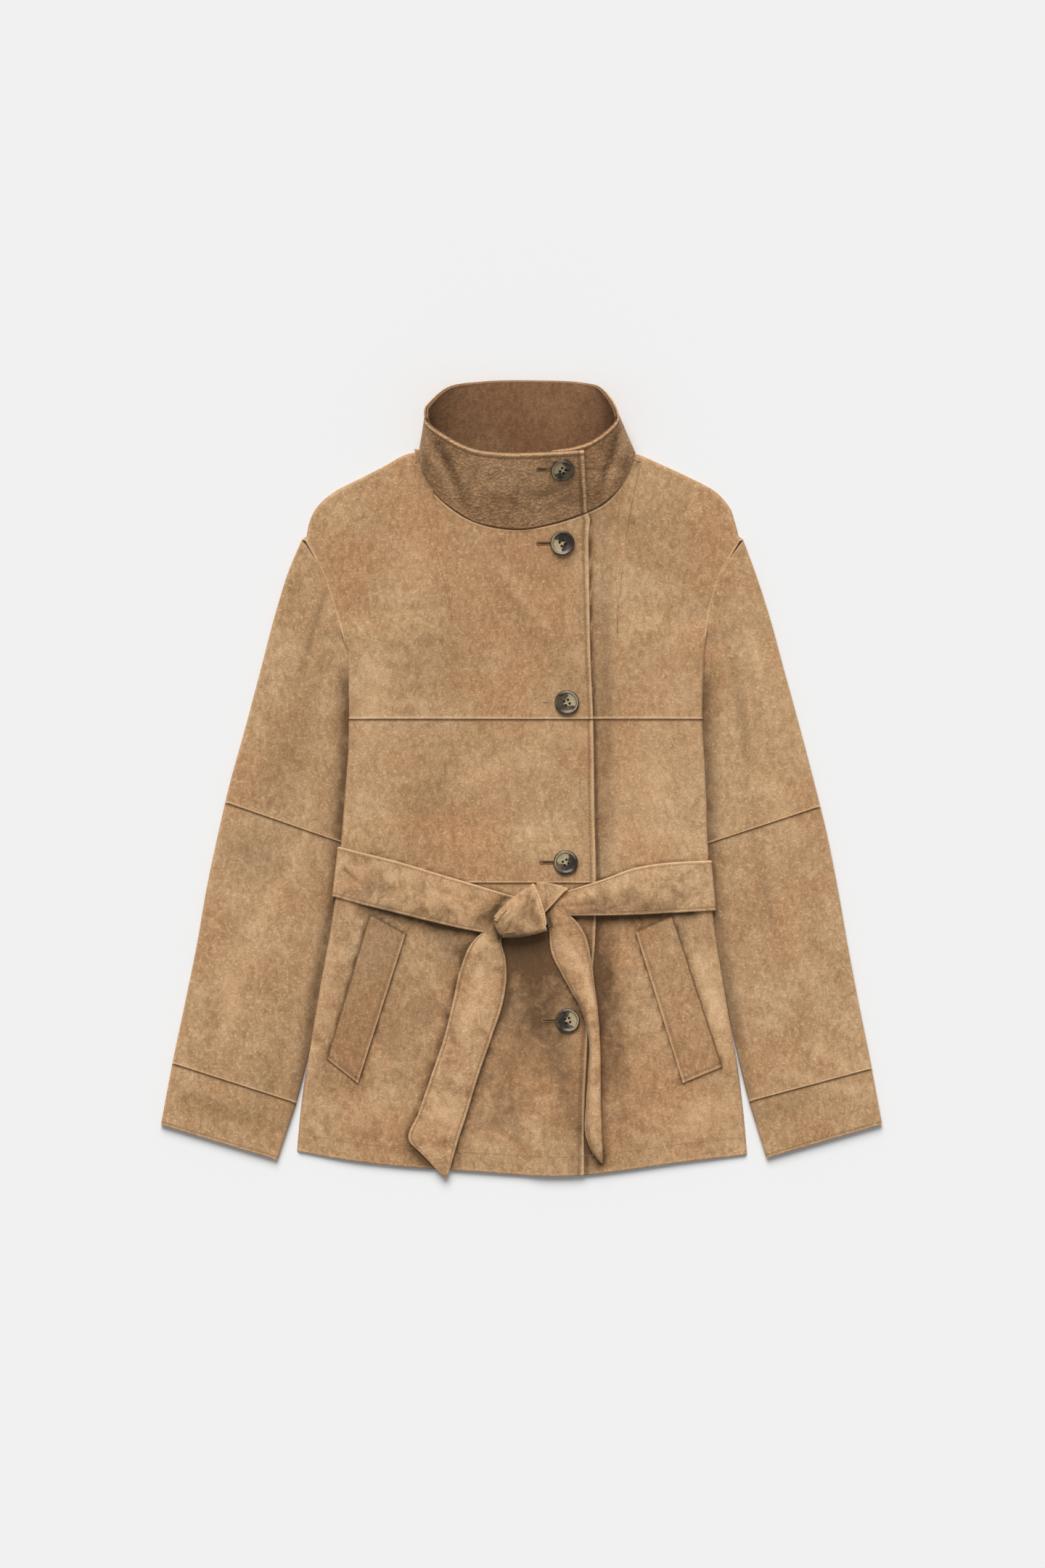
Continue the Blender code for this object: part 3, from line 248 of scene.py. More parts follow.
# Shoulder fold from the neck outwards: x, y for the right, then x, y for the left
SHOULDER = [
    (-105.5, 334.6, 116.3, 332.8), (-122.5, 328.6, 124.7, 328.6), (-136.5, 320.4, 142.5, 320.4),
    (-165.4, 305.6, 174.3, 305.6), (-193.5, 290.8, 200.2, 290.8), (-209.8, 276, 212.8, 276),
    (-218.7, 261.2, 219.5, 261.2), (-224.2, 243.3, 226.5, 243.3),
]
# Seam of the collar from the right shoulder to the left one, and the smoother line the front rises to: x, y
NECK_SEAM = [
    (-105.5, 334.6), (-102.5, 312), (-94.4, 297.8), (-78.3, 280.8), (-55, 264.6), (-31.7, 256.6),
    (-1.2, 253.9), (29.3, 258.3), (65.2, 270), (83.1, 279), (106.4, 305.8), (115.5, 322), (116.3, 332.8),
]
NECK_LINE = [(-105.5, 330), (-78.3, 281), (-31.7, 257), (29.3, 258), (83.1, 279), (116.3, 330)]
# Front edge of the lap: y, x
FRONT_EDGE = [
    (332, 63.6), (299, 66.2), (268.6, 67.9), (213.9, 69), (129.5, 70.4), (58.5, 73.3), (-34.8, 74.6),
    (-105.8, 76.1), (-140.6, 76.1), (-267.9, 67.6), (-339.7, 64.4), (-404, 64),
]
# Lower edge: x, y
HEM = [(-229.1, -379.5), (-164.7, -390), (-60, -399), (64, -403.5), (110, -398), (166.1, -390), (230.1, -383)]
# The lie of the front: x, y, half length, half width, direction in degrees, height
FRONT_LIE = [
    (-120, 175, 80, 22, 62, 0.9), (-150, 90, 60, 14, 100, -0.7), (-60, 200, 70, 24, 10, 0.7),
    (-95, -15, 80, 20, 12, 0.8), (-20, 10, 60, 18, -25, -0.6), (-130, -60, 55, 14, 25, 0.7),
    (30, -60, 60, 16, 8, -0.5), (-60, -230, 90, 22, 84, 0.9), (-10, -300, 80, 18, 95, -0.7),
    (110, -230, 90, 20, 82, 0.9), (150, -330, 60, 18, 60, 0.6), (120, 150, 80, 22, 112, 0.8),
    (165, 40, 60, 14, 85, -0.6), (120, -20, 70, 18, -8, 0.7),
]


def table_x(table, side, y):
    return smooth_line([(row[0], row[COLUMN[side]]) for row in table], y)


def either_side(table, x, y):
    """Distance from the middle line to an edge, on whichever side x is."""
    return np.where(x < 0, -table_x(table, "right", y), table_x(table, "left", y))


def shoulder_knots(side):
    return [row[:2] if side == "right" else row[2:] for row in SHOULDER]


def front_edge_x(y):
    return smooth_line(FRONT_EDGE, y)


def hem_y(x):
    return smooth_line(HEM, x)


def back_floor(x, y):
    """Underside of the back panel, raised along the sleeves and across the belt."""
    beside = slope(np.abs(x) - either_side(SLEEVE_INNER, x, y), -62, -20)
    sleeve = beside * (1 - ramp(y, 144, 170)) * ramp(y, -325, -290)
    belt_line = -101.5 - 0.036 * x
    belt = 1 - slope(np.abs(y - belt_line), 29, 58)
    return BODY_LIFT * sleeve + BELT_LIFT * belt


def folds(table, x, y):
    """Sum of the long soft ridges and hollows in a table."""
    total = np.zeros(np.broadcast(x, y).shape)
    for at_x, at_y, half_length, half_width, direction, height in table:
        turn = math.radians(direction)
        along = (x - at_x) * math.cos(turn) + (y - at_y) * math.sin(turn)
        across = (y - at_y) * math.cos(turn) - (x - at_x) * math.sin(turn)
        total = total + height * np.exp(-((along / half_length) ** 2) - (across / half_width) ** 2)
    return total


def folding(table):
    """The folds of one table, as a function of the place."""
    return lambda x, y: folds(table, x, y)


def front_top(x, y):
    """Upper face of the front that lies under the lap."""
    x, y = np.asarray(x, float), np.asarray(y, float)
    inside = ramp(either_side(SIDE_EDGE, x, y) - np.abs(x), 2, 60)
    shoulder = np.where(x < 0, *(smooth_line(shoulder_knots(side), x) for side in SIDES))
    above = np.maximum(inside, ramp(y, UNDERARM_Y, 190)) * ramp(shoulder - y, 2, 50)
    inside = np.where(y > UNDERARM_Y, above, inside)
    neck = NECK_RISE * (1 - ramp(np.abs(x - 5), 45, 100)) * ramp(smooth_line(NECK_LINE, x) - y, 62, 2)
    return back_floor(x, y) + ROLL + (FRONT_LOFT + folds(FRONT_LIE, x, y)) * inside + neck


def lap_top(x, y):
    """Upper face of the front that laps over the other one."""
    edge = front_edge_x(y)
    return front_top(x, y) + LAP_LIFT * ramp(x, edge - LAP - 32, edge - LAP - 4)


FRONT_TOPS = {"right": lap_top, "left": front_top}


def sleeve_top(x, y):
    """Height of a sleeve, low where the body lies on it and level with the armhole seam."""
    x, y = np.asarray(x, float), np.asarray(y, float)
    free = ramp(np.abs(x) - either_side(SIDE_EDGE, x, y), 14, 36)
    free = np.maximum(np.maximum(free, ramp(y, 136, 156)), ramp(-y, 268, 300))
    return SLEEVE_FLAT + (SLEEVE_LOFT - SLEEVE_FLAT) * free


print("front edge lies at", round(float(lap_top(60, 0)), 1), "mm above the floor")

# %% [markdown]
# ## Seams
# At a seam the suede is turned in and sewn: there it swells into a ridge, dips along the stitches and
# rounds off. The same distances give each point its painted shading: a painted highlight on the ridges,
# and painted shade at the joins and in the dips of the stitches.

# %% Seams
SEAM_KINDS = {
    # ridge: height, place, half width and painted highlight; edge: painted shade and its width; stitches:
    # place and depth
    "ridge": (0.5, 1.1, 0.9, 0.85, 0.7, 0.3, 0, 0),
    "under": (0, 1, 1, 0, 1.15, 1.5, 0, 0),
    "folded": (0.5, 1.5, 1.2, 0.7, 0.3, 0.25, 5.2, 0.5),
    "stitched": (0.15, 1, 1, 0.35, 0.3, 0.25, 2.8, 0.35),
    "belt": (0.45, 1.1, 1, 0.85, 0.3, 0.25, 0, 0),
    "rim": (0.7, 1.9, 1.6, 1, 0.2, 0.25, 5.4, 0.5),
    "welt": (0.4, 1, 0.9, 0.6, 0.5, 0.3, 4.2, 0.3),
    "tucked": (0.1, 1, 0.9, 0.25, 0.3, 0.4, 0, 0),
    "hem": (0.1, 1, 1, 0.25, 0.2, 0.3, 19, 0.75),
    "plain": (0, 1, 1, 0, 0, 0.3, 0, 0),
}
# Beside an edge the suede rounds off. Its stitches lie in a dip that gets painted shade, its folds get a
# painted highlight, and the inner face keeps a little of the painted shading.
DIP_WIDTH = 0.9
DIP_SHADE = 1.4
EDGE_DROP, EDGE_WIDTH = 0.6, 0.7
FOLD_HIGHLIGHT = 0.1
INNER_SHADING = 0.2


def seam_shape(kind, gap):
    """Rise and painted shading at a distance in mm from an edge: painted highlight on the ridge, painted
    shade at the edge and in the dip of the stitches.
    """
    lip, lip_at, lip_width, light, dark, dark_width, dip_at, dip = SEAM_KINDS[kind]
    rise = lip * bump(gap, lip_at, lip_width) - dip * bump(gap, dip_at, DIP_WIDTH)
    wear = light * bump(gap, lip_at, lip_width) - dark * bump(gap, 0, dark_width)
    rise = rise - EDGE_DROP * (dark > 0) * bump(gap, 0, EDGE_WIDTH)
    return rise, wear - DIP_SHADE * dip * bump(gap, dip_at, DIP_WIDTH)


def sewn_relief(seams, over, down):
    """Rise and painted shading of a grid whose columns and rows lie at these distances in mm."""
    gaps = (over[None], (over[-1] - over)[None], down[:, None], (down[-1] - down)[:, None])
    rise = wear = np.zeros((len(down), len(over)))
    for kind, gap in zip(seams, gaps):
        if kind != "none":
            more, added_shading = seam_shape(kind, gap)
            rise, wear = rise + more, wear + added_shading
    return rise, wear


for kind in SEAM_KINDS:
    print(kind, "rises by", round(float(seam_shape(kind, np.arange(0, 9, 0.1))[0].max()), 2), "mm")

# %% [markdown]
# ## Panels
# A panel fills four edge curves with a grid that is close beside its seams. Where the suede folds over an
# edge, the grid goes on as a rolled strip. Each grid becomes a thin shell with two faces and a rim.

# %% Panels
# The edges of a grid in the order in which curves and seams are given, with the way out over each
EDGES = {"left": (-1, 0), "right": (1, 0), "bottom": (0, -1), "top": (0, 1)}
EVEN = np.linspace(0, 1, 200)
ROLL_STEPS = 7
SHARP_EDGE = math.radians(60)


def grid_normals(grid):
    return unit(np.cross(np.gradient(grid, axis=1), np.gradient(grid, axis=0)))


def cloth(name, outer, inner, wear, tint, marks=None):
    """Closes two matching grids, in mm, into a thin shell with its painted shading, tint, and marks of nap
    and painted light.
    """
    rows, columns = outer.shape[:2]
    half = rows * columns
    at = np.arange(half).reshape(rows, columns)
    a, b, c, d = at[:-1, :-1], at[:-1, 1:], at[1:, 1:], at[1:, :-1]
    upper = np.stack([a, b, c, d], axis=-1).reshape(-1, 4)
    lower = np.stack([a, d, c, b], axis=-1).reshape(-1, 4) + half
    rim = np.concatenate([at[0, :-1], at[:-1, -1], at[-1, :0:-1], at[:0:-1, 0]])
    following = np.roll(rim, -1)
    wall = np.stack([rim, rim + half, following + half, following], axis=-1)
    points = np.concatenate([outer.reshape(-1, 3), inner.reshape(-1, 3)]) * MM
    points[:, 2] = np.maximum(points[:, 2], 0)
    mesh = mesh_of(name, points.tolist(), np.concatenate([upper, lower, wall]).tolist())
    shape = bmesh.new()
    shape.from_mesh(mesh)
    bmesh.ops.recalc_face_normals(shape, faces=shape.faces)
    shape.to_mesh(mesh)
    shape.free()
    mesh.shade_smooth()
    mesh.set_sharp_from_angle(angle=SHARP_EDGE)
    brushed = on_plan(marks, outer) if marks else np.zeros(wear.shape)
    looks = {"wear": np.concatenate([wear.ravel(), wear.ravel() * INNER_SHADING]),
             "tint": np.full(len(points), tint), "brushed": np.tile(brushed.ravel(), 2)}
    for key, values in looks.items():
        mesh.attributes.new(key, "FLOAT", "POINT").data.foreach_set("value", values.astype(np.float32))
    return placed(name, mesh)


def coons(left, right, bottom, top, across, up):
    """Fills four edges. left and right run upwards, bottom and top run to the right."""
    u, v = across[None, :, None], up[:, None, None]
    sides = blend(*(at_shares(curve, up)[:, None] for curve in (left, right)), u)
    ends = blend(*(at_shares(curve, across)[None] for curve in (bottom, top)), v)
    return sides + ends - blend(*(blend(end[0], end[-1], u) for end in (bottom, top)), v)


def outward_of(curve, towards):
    along = np.gradient(curve, axis=0)
    square = unit(np.stack([along[:, 1], -along[:, 0]], axis=1))
    return square * np.where(square @ np.array(towards, float) < 0, -1, 1)[:, None]


class Panel:
    """Grid of a piece of suede, kept so that sewing can be laid along its edges."""

    def __init__(self, outer, normal, across, up, width, tall):
        self.outer, self.normal = outer, normal
        self.across, self.up, self.width, self.tall = across, up, width, tall

    def line(self, edge, inset, first, last, count=900):
        """Points and normals along an edge, a distance in mm inside it."""
        upright = edge in ("left", "right")
        share = np.linspace(first, last, count)
        far = inset / (self.width if upright else self.tall)
        far = np.full(count, 1 - far if edge in ("right", "top") else far)
        return self.read(far, share) if upright else self.read(share, far)

    def read(self, u, v):
        columns = np.interp(u, self.across, np.arange(len(self.across)))
        rows = np.interp(v, self.up, np.arange(len(self.up)))
        c = np.minimum(columns.astype(int), len(self.across) - 2)
        r = np.minimum(rows.astype(int), len(self.up) - 2)
        fc, fr = (columns - c)[:, None], (rows - r)[:, None]
        found = []
        for grid in (self.outer, self.normal):
            found.append(blend(*(blend(grid[row, c], grid[row, c + 1], fc) for row in (r, r + 1)), fr))
        return found


def inset_edges(edges, outward, reach):
    """Draws the folded edges in by their reach and lets the edges meet again at the corners."""
    moves = {k: outward[k] * reach[k][:, None] for k in edges}
    inset = {k: edges[k] - moves[k] for k in edges}
    for upright, own in (("left", 0), ("right", -1)):
        for at, level in ((0, "bottom"), (-1, "top")):
            corner = edges[upright][at] - moves[upright][at] - moves[level][own]
            for k, end in ((upright, at), (level, own)):
                fade = np.clip((1 - EVEN if end == 0 else EVEN) * 8 - 7, 0, 1)[:, None]
                inset[k] = inset[k] + (corner - inset[k][end]) * fade
    return inset


def add_strip(grids, edge, turn, outward, length):
    """Adds the folded strip beyond one edge of a grid."""
    axis = 1 if edge in ("left", "right") else 0
    index = 0 if edge in ("left", "bottom") else -1
    flat, reach, drop, rise, wear = (np.take(grid, index, axis=axis) for grid in grids)
    lines = []
    for k in range(1, ROLL_STEPS + 1):
        lean = turn * k / ROLL_STEPS
        out = (length / turn * np.sin(lean))[:, None]
        lines.append((flat, reach + outward * out, drop + length / turn * (1 - np.cos(lean)), rise, wear))
    added = [np.stack(line, axis=axis) for line in zip(*(lines if index else lines[::-1]))]
    return [np.concatenate([grid, more] if index else [more, grid], axis=axis)
            for grid, more in zip(grids, added)]


def with_strips(shares, low, high):
    """Shares of a grid's lines, running a little past 0 or 1 over its folded strips."""
    past = np.linspace(0, 0.05, ROLL_STEPS + 1)[1:]
    return np.concatenate([-past[::-1] if low else [], shares, 1 + past if high else []])


def panel(name, curves, height, seams, tint=0.5, rolls=None, step=4.0, wall=PANEL_WALL, strip=ROLL_LENGTH,
          extra=None, marks=None):
    """A sewn panel between four edges. rolls maps an edge to a function giving its turn at a point."""
    rolls = rolls or {}
    edges = {k: at_shares(curve, EVEN) for k, curve in zip(EDGES, curves)}
    runs = {k: run_of(edge)[-1] for k, edge in edges.items()}
    width, tall = (runs["bottom"] + runs["top"]) / 2, (runs["left"] + runs["right"]) / 2
    outward = {k: outward_of(edge, EDGES[k]) for k, edge in edges.items()}
    turns = {k: np.maximum(rolls[k](edges[k]), 1e-4) for k in edges if k in rolls}
    reach = {k: strip / turns[k] * np.sin(np.minimum(turns[k], math.pi / 2)) if k in turns else 0 * EVEN
             for k in edges}
    inset = inset_edges(edges, outward, reach)
    kinds = dict(zip(EDGES, seams))
    flat_kinds = {k: "none" if k in turns else kind for k, kind in kinds.items()}
    close = [kind != "none" for kind in flat_kinds.values()]
    across, up = shares_for(width, step, *close[:2]), shares_for(tall, step, *close[2:])
    flat = coons(*inset.values(), across, up)
    rise, wear = sewn_relief(flat_kinds.values(), across * width, up * tall)
    if extra:
        rise = rise + on_plan(extra, flat)
    grids = [flat, np.zeros(flat.shape), np.zeros(wear.shape), rise, wear]
    for k in turns:
        level = k in ("bottom", "top")
        pad = [ROLL_STEPS * (level and other in turns) for other in ("left", "right")]
        beside, inward = (across, up * tall) if level else (up, across * width)
        turn = np.pad(np.interp(beside, EVEN, turns[k]), pad, mode="edge")
        facing = np.pad(read_off(EVEN, outward[k], beside), (pad, (0, 0)), mode="edge")
        grids = add_strip(grids, k, turn, facing, strip)
        inward = inward if k in ("left", "bottom") else (inward[-1] - inward)[::-1]
        gap = np.concatenate([strip * np.arange(ROLL_STEPS) / ROLL_STEPS, strip + inward])
        gap = np.pad(gap, (0, grids[0].shape[0 if level else 1] - len(gap)), mode="edge")
        gap = gap if k in ("left", "bottom") else gap[::-1]
        gap, turn = (gap[:, None], turn[None]) if level else (gap[None], turn[:, None])
        more, added_shading = seam_shape("plain" if kinds[k] == "none" else kinds[k], gap)
        joined = 1 - ramp(turn, 0, 0.8)
        grids[3] = grids[3] + more * joined
        # Painted shading of the seam where the strip has not yet turned, and a painted highlight along the
        # fold
        grids[4] = grids[4] + added_shading * joined + FOLD_HIGHLIGHT * (gap < strip * 0.9) * (1 - joined)
    flat, spread, drop, rise, wear = grids
    z = on_plan(height, flat) - drop
    outer = np.concatenate([flat + spread, z[:, :, None]], axis=2)
    normal = grid_normals(outer)
    normal = normal * (-1 if normal[normal.shape[0] // 2, normal.shape[1] // 2, 2] < 0 else 1)
    outer = outer + normal * rise[:, :, None]
    made = Panel(outer, normal, with_strips(across, "left" in turns, "right" in turns),
                 with_strips(up, "bottom" in turns, "top" in turns), width, tall)
    made.piece = cloth(name, outer, outer - normal * wall, wear, tint, marks)
    return made


print("a panel's edges:", ", ".join(EDGES))

# %% [markdown]
# ## Shader maths
# A finish is worked out as sums of noises and of the marks on the mesh. These two classes let the sums be
# written as plain Python.

# %% Shader maths
class Value:
    """A number or colour in a shader, so that its maths reads as sums."""

    def __init__(self, shade, socket):
        self.shade, self.socket = shade, socket

    def maths(self, operation, *values):
        return self.shade.node("ShaderNodeMath", {"operation": operation}, dict(enumerate(values)))

    def __add__(self, other):
        return self.maths("ADD", self, other)

    def __sub__(self, other):
        return self.maths("SUBTRACT", self, other)

    def __rsub__(self, other):
        return self.maths("SUBTRACT", other, self)

    def __mul__(self, other):
        return self.maths("MULTIPLY", self, other)

    def __neg__(self):
        return self * -1.0

    def __abs__(self):
        return self.maths("ABSOLUTE", self)

    __radd__ = __add__
    __rmul__ = __mul__

    def clamp(self, low=0.0, high=1.0):
        return self.maths("MAXIMUM", self.maths("MINIMUM", self, high), low)

    def between(self, low, high):
        """0 at low and 1 at high, held there beyond them."""
        return ((self - low) * (1.0 / (high - low))).clamp()


class Shade:
    """One material and the nodes made for it."""

    def __init__(self, name):
        self.material = bpy.data.materials.new(name)
        self.material.use_nodes = True
        self.tree = self.material.node_tree
        self.surface = self.tree.nodes["Principled BSDF"]

    def node(self, kind, settings=None, inputs=None, output=0):
        made = self.tree.nodes.new(kind)
        for key, value in (settings or {}).items():
            setattr(made, key, value)
        self.connect(made, inputs or {})
        return Value(self, made.outputs[output])

    def connect(self, made, inputs):
        for key, value in inputs.items():
            if isinstance(value, Value):
                self.tree.links.new(value.socket, made.inputs[key])
            else:
                made.inputs[key].default_value = value

    def place(self, stretch=(1, 1, 1), turn=0.0):
        """Place on the object in metres, turned about z and stretched."""
        found = self.node("ShaderNodeTexCoord", output="Object")
        settings = {"Vector": found, "Scale": stretch, "Rotation": (0, 0, turn)}
        return self.node("ShaderNodeMapping", None, settings)

    def noise(self, place, scale, detail=2.0, rough=0.5, twist=0.0):
        sockets = {"Vector": place, "Scale": scale, "Detail": detail, "Roughness": rough, "Distortion": twist}
        return self.node("ShaderNodeTexNoise", None, sockets)

    def attribute(self, name):
        return self.node("ShaderNodeAttribute", {"attribute_name": name}, output="Fac")

    def mix(self, share, first, second):
        """Mixes two colours."""
        return self.node("ShaderNodeMix", {"data_type": "RGBA"}, {0: share, 6: first, 7: second}, output=2)

    def relief(self, height, strength, depth):
        return self.node("ShaderNodeBump", None, {"Strength": strength, "Distance": depth, "Height": height})

    def finish(self, **inputs):
        self.connect(self.surface, {key.replace("_", " "): value for key, value in inputs.items()})
        return self.material


print("shader helpers:", [name for name in vars(Shade) if not name.startswith("_")])

# %% [markdown]
# ## Suede
# Suede is the napped flesh side of the skin. Its fibres scatter light at a grazing angle, so the shader has
# a sheen. The nap was brushed in patches, so the brown drifts between sandy, reddish and dark over a few
# centimetres, with short streaks where a hand last passed, and fine pale pores all over.

# %% Suede
def lit(colour, times, more=0.0):
    """A colour made lighter or darker."""
    return tuple(min(1, times * c + more) for c in colour[:3]) + (1,)


SAND, BROWN = (0.63, 0.415, 0.228, 1), (0.425, 0.248, 0.117, 1)
RUSSET, DARK = (0.475, 0.238, 0.107, 1), (0.21, 0.104, 0.043, 1)


def suede(name, sand=SAND, brown=BROWN, russet=RUSSET, dark=DARK, pores=0.35, lift=0.6, pebbles=0, handled=0):
    """Napped suede. Each layer is laid over those before it."""
    shade = Shade(name)
    place = shade.place()
    patches = shade.noise(place, 16, 4, 0.6, 0.9).between(0.35, 0.65)
    drift = shade.noise(shade.place(turn=1.1), 9, 3, 0.55, 0.6).between(0.36, 0.64)
    cloudy = shade.noise(place, 62, 4, 0.62, 0.7).between(0.32, 0.68)
    streaks = shade.noise(shade.place((1, 0.6, 1), 0.5), 190, 4, 0.7, 0.6).between(0.36, 0.64)
    nap = shade.noise(place, 520, 4, 0.7).between(0.3, 0.7)
    specks = shade.noise(place, 380, 1, 0.4).between(0.58, 0.70)
    # The marks are brushed nap together with painted light: raised edges painted lighter, and hollows,
    # creases and the suede beside pieces lying on it painted darker
    wear, tint, brushed = (shade.attribute(key) for key in ("wear", "tint", "brushed"))
    brushed = brushed * (0.75 + 0.5 * cloudy)
    if handled:
        touched = shade.noise(shade.place(turn=0.7), 40, 3, 0.6, 1.2)
        brushed = brushed + (touched - 0.5) * handled
    pale, deep = lit(sand, 1.3, 0.03), lit(dark, 0.38)
    layers = [
        (patches * 0.8 + cloudy * 0.55 - 0.2, sand), ((drift * 0.95 + tint - 0.72).clamp(0, 0.85), russet),
        ((1 - streaks) * 0.34 + (1 - nap) * 0.3, dark), (specks * pores * 0.8 + streaks * nap * 0.28, pale),
        (brushed.clamp() * (0.35 + 0.5 * nap), pale), ((-brushed).clamp() * 0.85, deep),
    ]
    height = nap * 0.35 + streaks * 0.3 + cloudy * 0.6 + specks * 0.4
    if pebbles:
        grain = shade.noise(place, 330, 2, 0.5, 0.4).between(0.42, 0.66)
        layers += [((1 - grain) * pebbles, dark), (grain * pebbles * 0.5, pale)]
        height = height + grain * 1.6
    # Painted highlight on seam ridges and folds, and painted shade at joins and in the dips of stitches
    layers += [(wear.clamp() * (0.45 + 0.35 * nap), pale), ((-wear).clamp() * 0.8, deep)]
    colour = brown
    for share, tone in layers:
        colour = shade.mix(share.clamp(), colour, tone)
    return shade.finish(Base_Color=colour, Roughness=0.88, Specular_IOR_Level=0.18, Sheen_Weight=0.15,
                        Sheen_Roughness=0.45, Sheen_Tint=(1, 0.86, 0.7, 1),
                        Normal=shade.relief(height, lift, 0.0006))


SUEDE = suede("suede")
SKIRT = suede("suede_skirt", handled=1.3)
HANDLED = suede("suede_handled", handled=2.4)
PEBBLED = suede("suede_pebbled", (0.68, 0.42, 0.225, 1), (0.47, 0.262, 0.118, 1), lift=0.8, pebbles=0.27,
                handled=2.0)
# The facing of the collar: the same suede in darker colours, painted shade for the inside of the collar
SHADED_INSIDE = suede("suede_inside", (0.33, 0.185, 0.092, 1), (0.22, 0.108, 0.05, 1), (0.24, 0.108, 0.048, 1),
               (0.11, 0.05, 0.022, 1), pores=0.1)
paper = Shade("floor").finish(Base_Color=(0.86, 0.86, 0.86, 1), Roughness=0.95, Specular_IOR_Level=0.1)
floor.data.materials.append(paper)
parts = {}


def dress(made, node, material=SUEDE):
    """Puts the finish on a piece, which then stands for its node."""
    made.piece.data.materials.append(material)
    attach(made.piece, "root")
    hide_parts(node)
    parts[node] = made


print("finishes:", SUEDE.name, SHADED_INSIDE.name)

# %% [markdown]
# ## What lies on the fronts
# The welts, the belt, its knot and its free ends lie on the fronts. Little light reaches the suede close
# beside them, so the suede there is painted darker. These outlines give that painted shade too.

# %% What lies on the fronts
WELTS = {
    "right": [(-154.4, -137.1), (-117.5, -157.6), (-166.4, -310.5), (-198.2, -285)],
    "left": [(115.8, -155), (153.8, -139.1), (204.7, -293.2), (164.2, -310.2)],
}
# Belt across the front, from the knot outwards: upper edge x, y and lower edge x, y
BELT_FRONT = {
    "right": [
        (2, -121.9, -14, -159), (-25, -114.2, -34, -157), (-47.5, -107.4, -52, -154),
        (-87.2, -95.5, -88.5, -146), (-126.9, -83.6, -126.9, -136.5), (-158, -75.8, -161, -128.2),
    ],
    "left": [
        (20, -123, 26, -140.5), (46.3, -114, 55.6, -139.1), (79.3, -103.5, 83, -138.9),
        (116.3, -90.3, 119, -138), (145.4, -85.5, 148, -136.5), (168, -83.8, 174, -135),
    ],
}
# Sections down each free end: left edge x, y, rise, two points between, right edge x, y, rise
TAIL_RIGHT = [
    (-21, -138, 3, -16.5, -140.5, 3.6, -11.5, -144.5, 3.6, -7, -148, 3),
    (-33, -150, 3.4, -28.5, -154, 5.4, -24, -157.5, 5.6, -19.5, -160.6, 3.6),
    (-51.8, -168.2, 2, -40, -172.5, 4.8, -27.5, -178, 5.4, -15.8, -184, 2),
    (-60.5, -187.7, 0.8, -45, -191, 2.6, -29.5, -195, 3, -14.9, -198.5, 0.8),
    (-69.5, -225, 0.3, -53, -227, 1.4, -36.5, -229, 1.6, -19.5, -231, 0.3),
    (-77.8, -259.4, 0, -61.5, -259.8, 1.6, -45.5, -260.4, 1.2, -29.5, -261, 0),
    (-93, -305, 0, -77, -305.6, 1, -61, -306.4, 1.8, -45.3, -307.1, 0),
    (-105, -340, 0, -88.5, -340.5, 1.2, -72, -341.2, 1, -55.8, -342, 0),
    (-114.7, -367.9, 0, -98, -367.8, 0.8, -81, -367.4, 0.8, -64, -367, 0),
    (-100, -383.5, 0, -89.5, -383.8, 0.5, -79, -384, 0.5, -69, -384, 0),
    (-86, -398.3, 0, -81.5, -398.6, 0.3, -77.3, -398.6, 0.3, -73, -398.3, 0),
    (-79.5, -405.2, 0, -78.2, -405.9, 0, -76.8, -405.9, 0, -75.5, -405.2, 0),
]
TAIL_LEFT = [
    (24.5, -140.5, 3.2, 27.5, -137.5, 4, 31, -133.5, 4, 34.5, -129.5, 3.2),
    (27.5, -153, 3.2, 33, -148, 6, 40, -142.5, 6, 47, -136.5, 3.4),
    (29.6, -174.6, 0.8, 40, -168.5, 5.4, 51.5, -162, 5.8, 63, -154.5, 1.8),
    (41.6, -200.8, 0, 51.5, -197.5, 5.6, 63, -194, 6.4, 72.6, -191, 0),
    (50, -216, 0, 57.5, -214.6, 8, 69.5, -213, 10, 75, -211.5, 0),
    (59, -232, 0, 65, -232, 10.5, 75, -232, 12.5, 77.8, -232, 0),
    (68.6, -268, 0, 72, -268, 11.5, 79.2, -268, 13, 77.4, -268, 0),
    (67.6, -300, 0, 71.6, -300, 11.5, 80, -300, 13, 77, -300, 0),
    (65.4, -329, 0, 70.6, -329, 11, 80.2, -329, 12.5, 77, -329, 0),
    (65.8, -366, 0, 71.6, -366, 9, 81.8, -366, 10.5, 79, -366, 0),
    (72.5, -381, 0, 76, -381, 6, 82.4, -381, 7, 81, -381, 0),
    (79.6, -390.5, 0, 80.4, -390.5, 2.2, 82.6, -390.5, 2.4, 83.4, -390.5, 0),
]
# Corners of the wrap and of the pass beside it: lower left, lower right, upper right, upper left
KNOT_WRAP = [(-19.8, -161.1), (26.5, -153.9), (12.7, -106.1), (-28.5, -140.5)]
KNOT_PASS = [(16.5, -131), (22.5, -137.9), (47.7, -111.4), (15.6, -104.2)]


def near(curve, x, y):
    """Distance from each point to a curve."""
    spots = np.stack([x.ravel(), y.ravel()], axis=1)
    return np.linalg.norm(spots[:, None] - curve[None], axis=2).min(axis=1).reshape(x.shape)


def shades(points, *reaches, count=90):
    """A curve with something beyond it, with how far each shade beside it reaches and how deep it is."""
    curve = at_shares(path(points, 200), np.linspace(0, 1, count))
    return [(curve, reach, depth) for reach, depth in reaches]


def shade_of(covers, x, y):
    return np.max([depth * np.exp(-((near(curve, x, y) / reach) ** 2))
                   for curve, reach, depth in covers], axis=0)


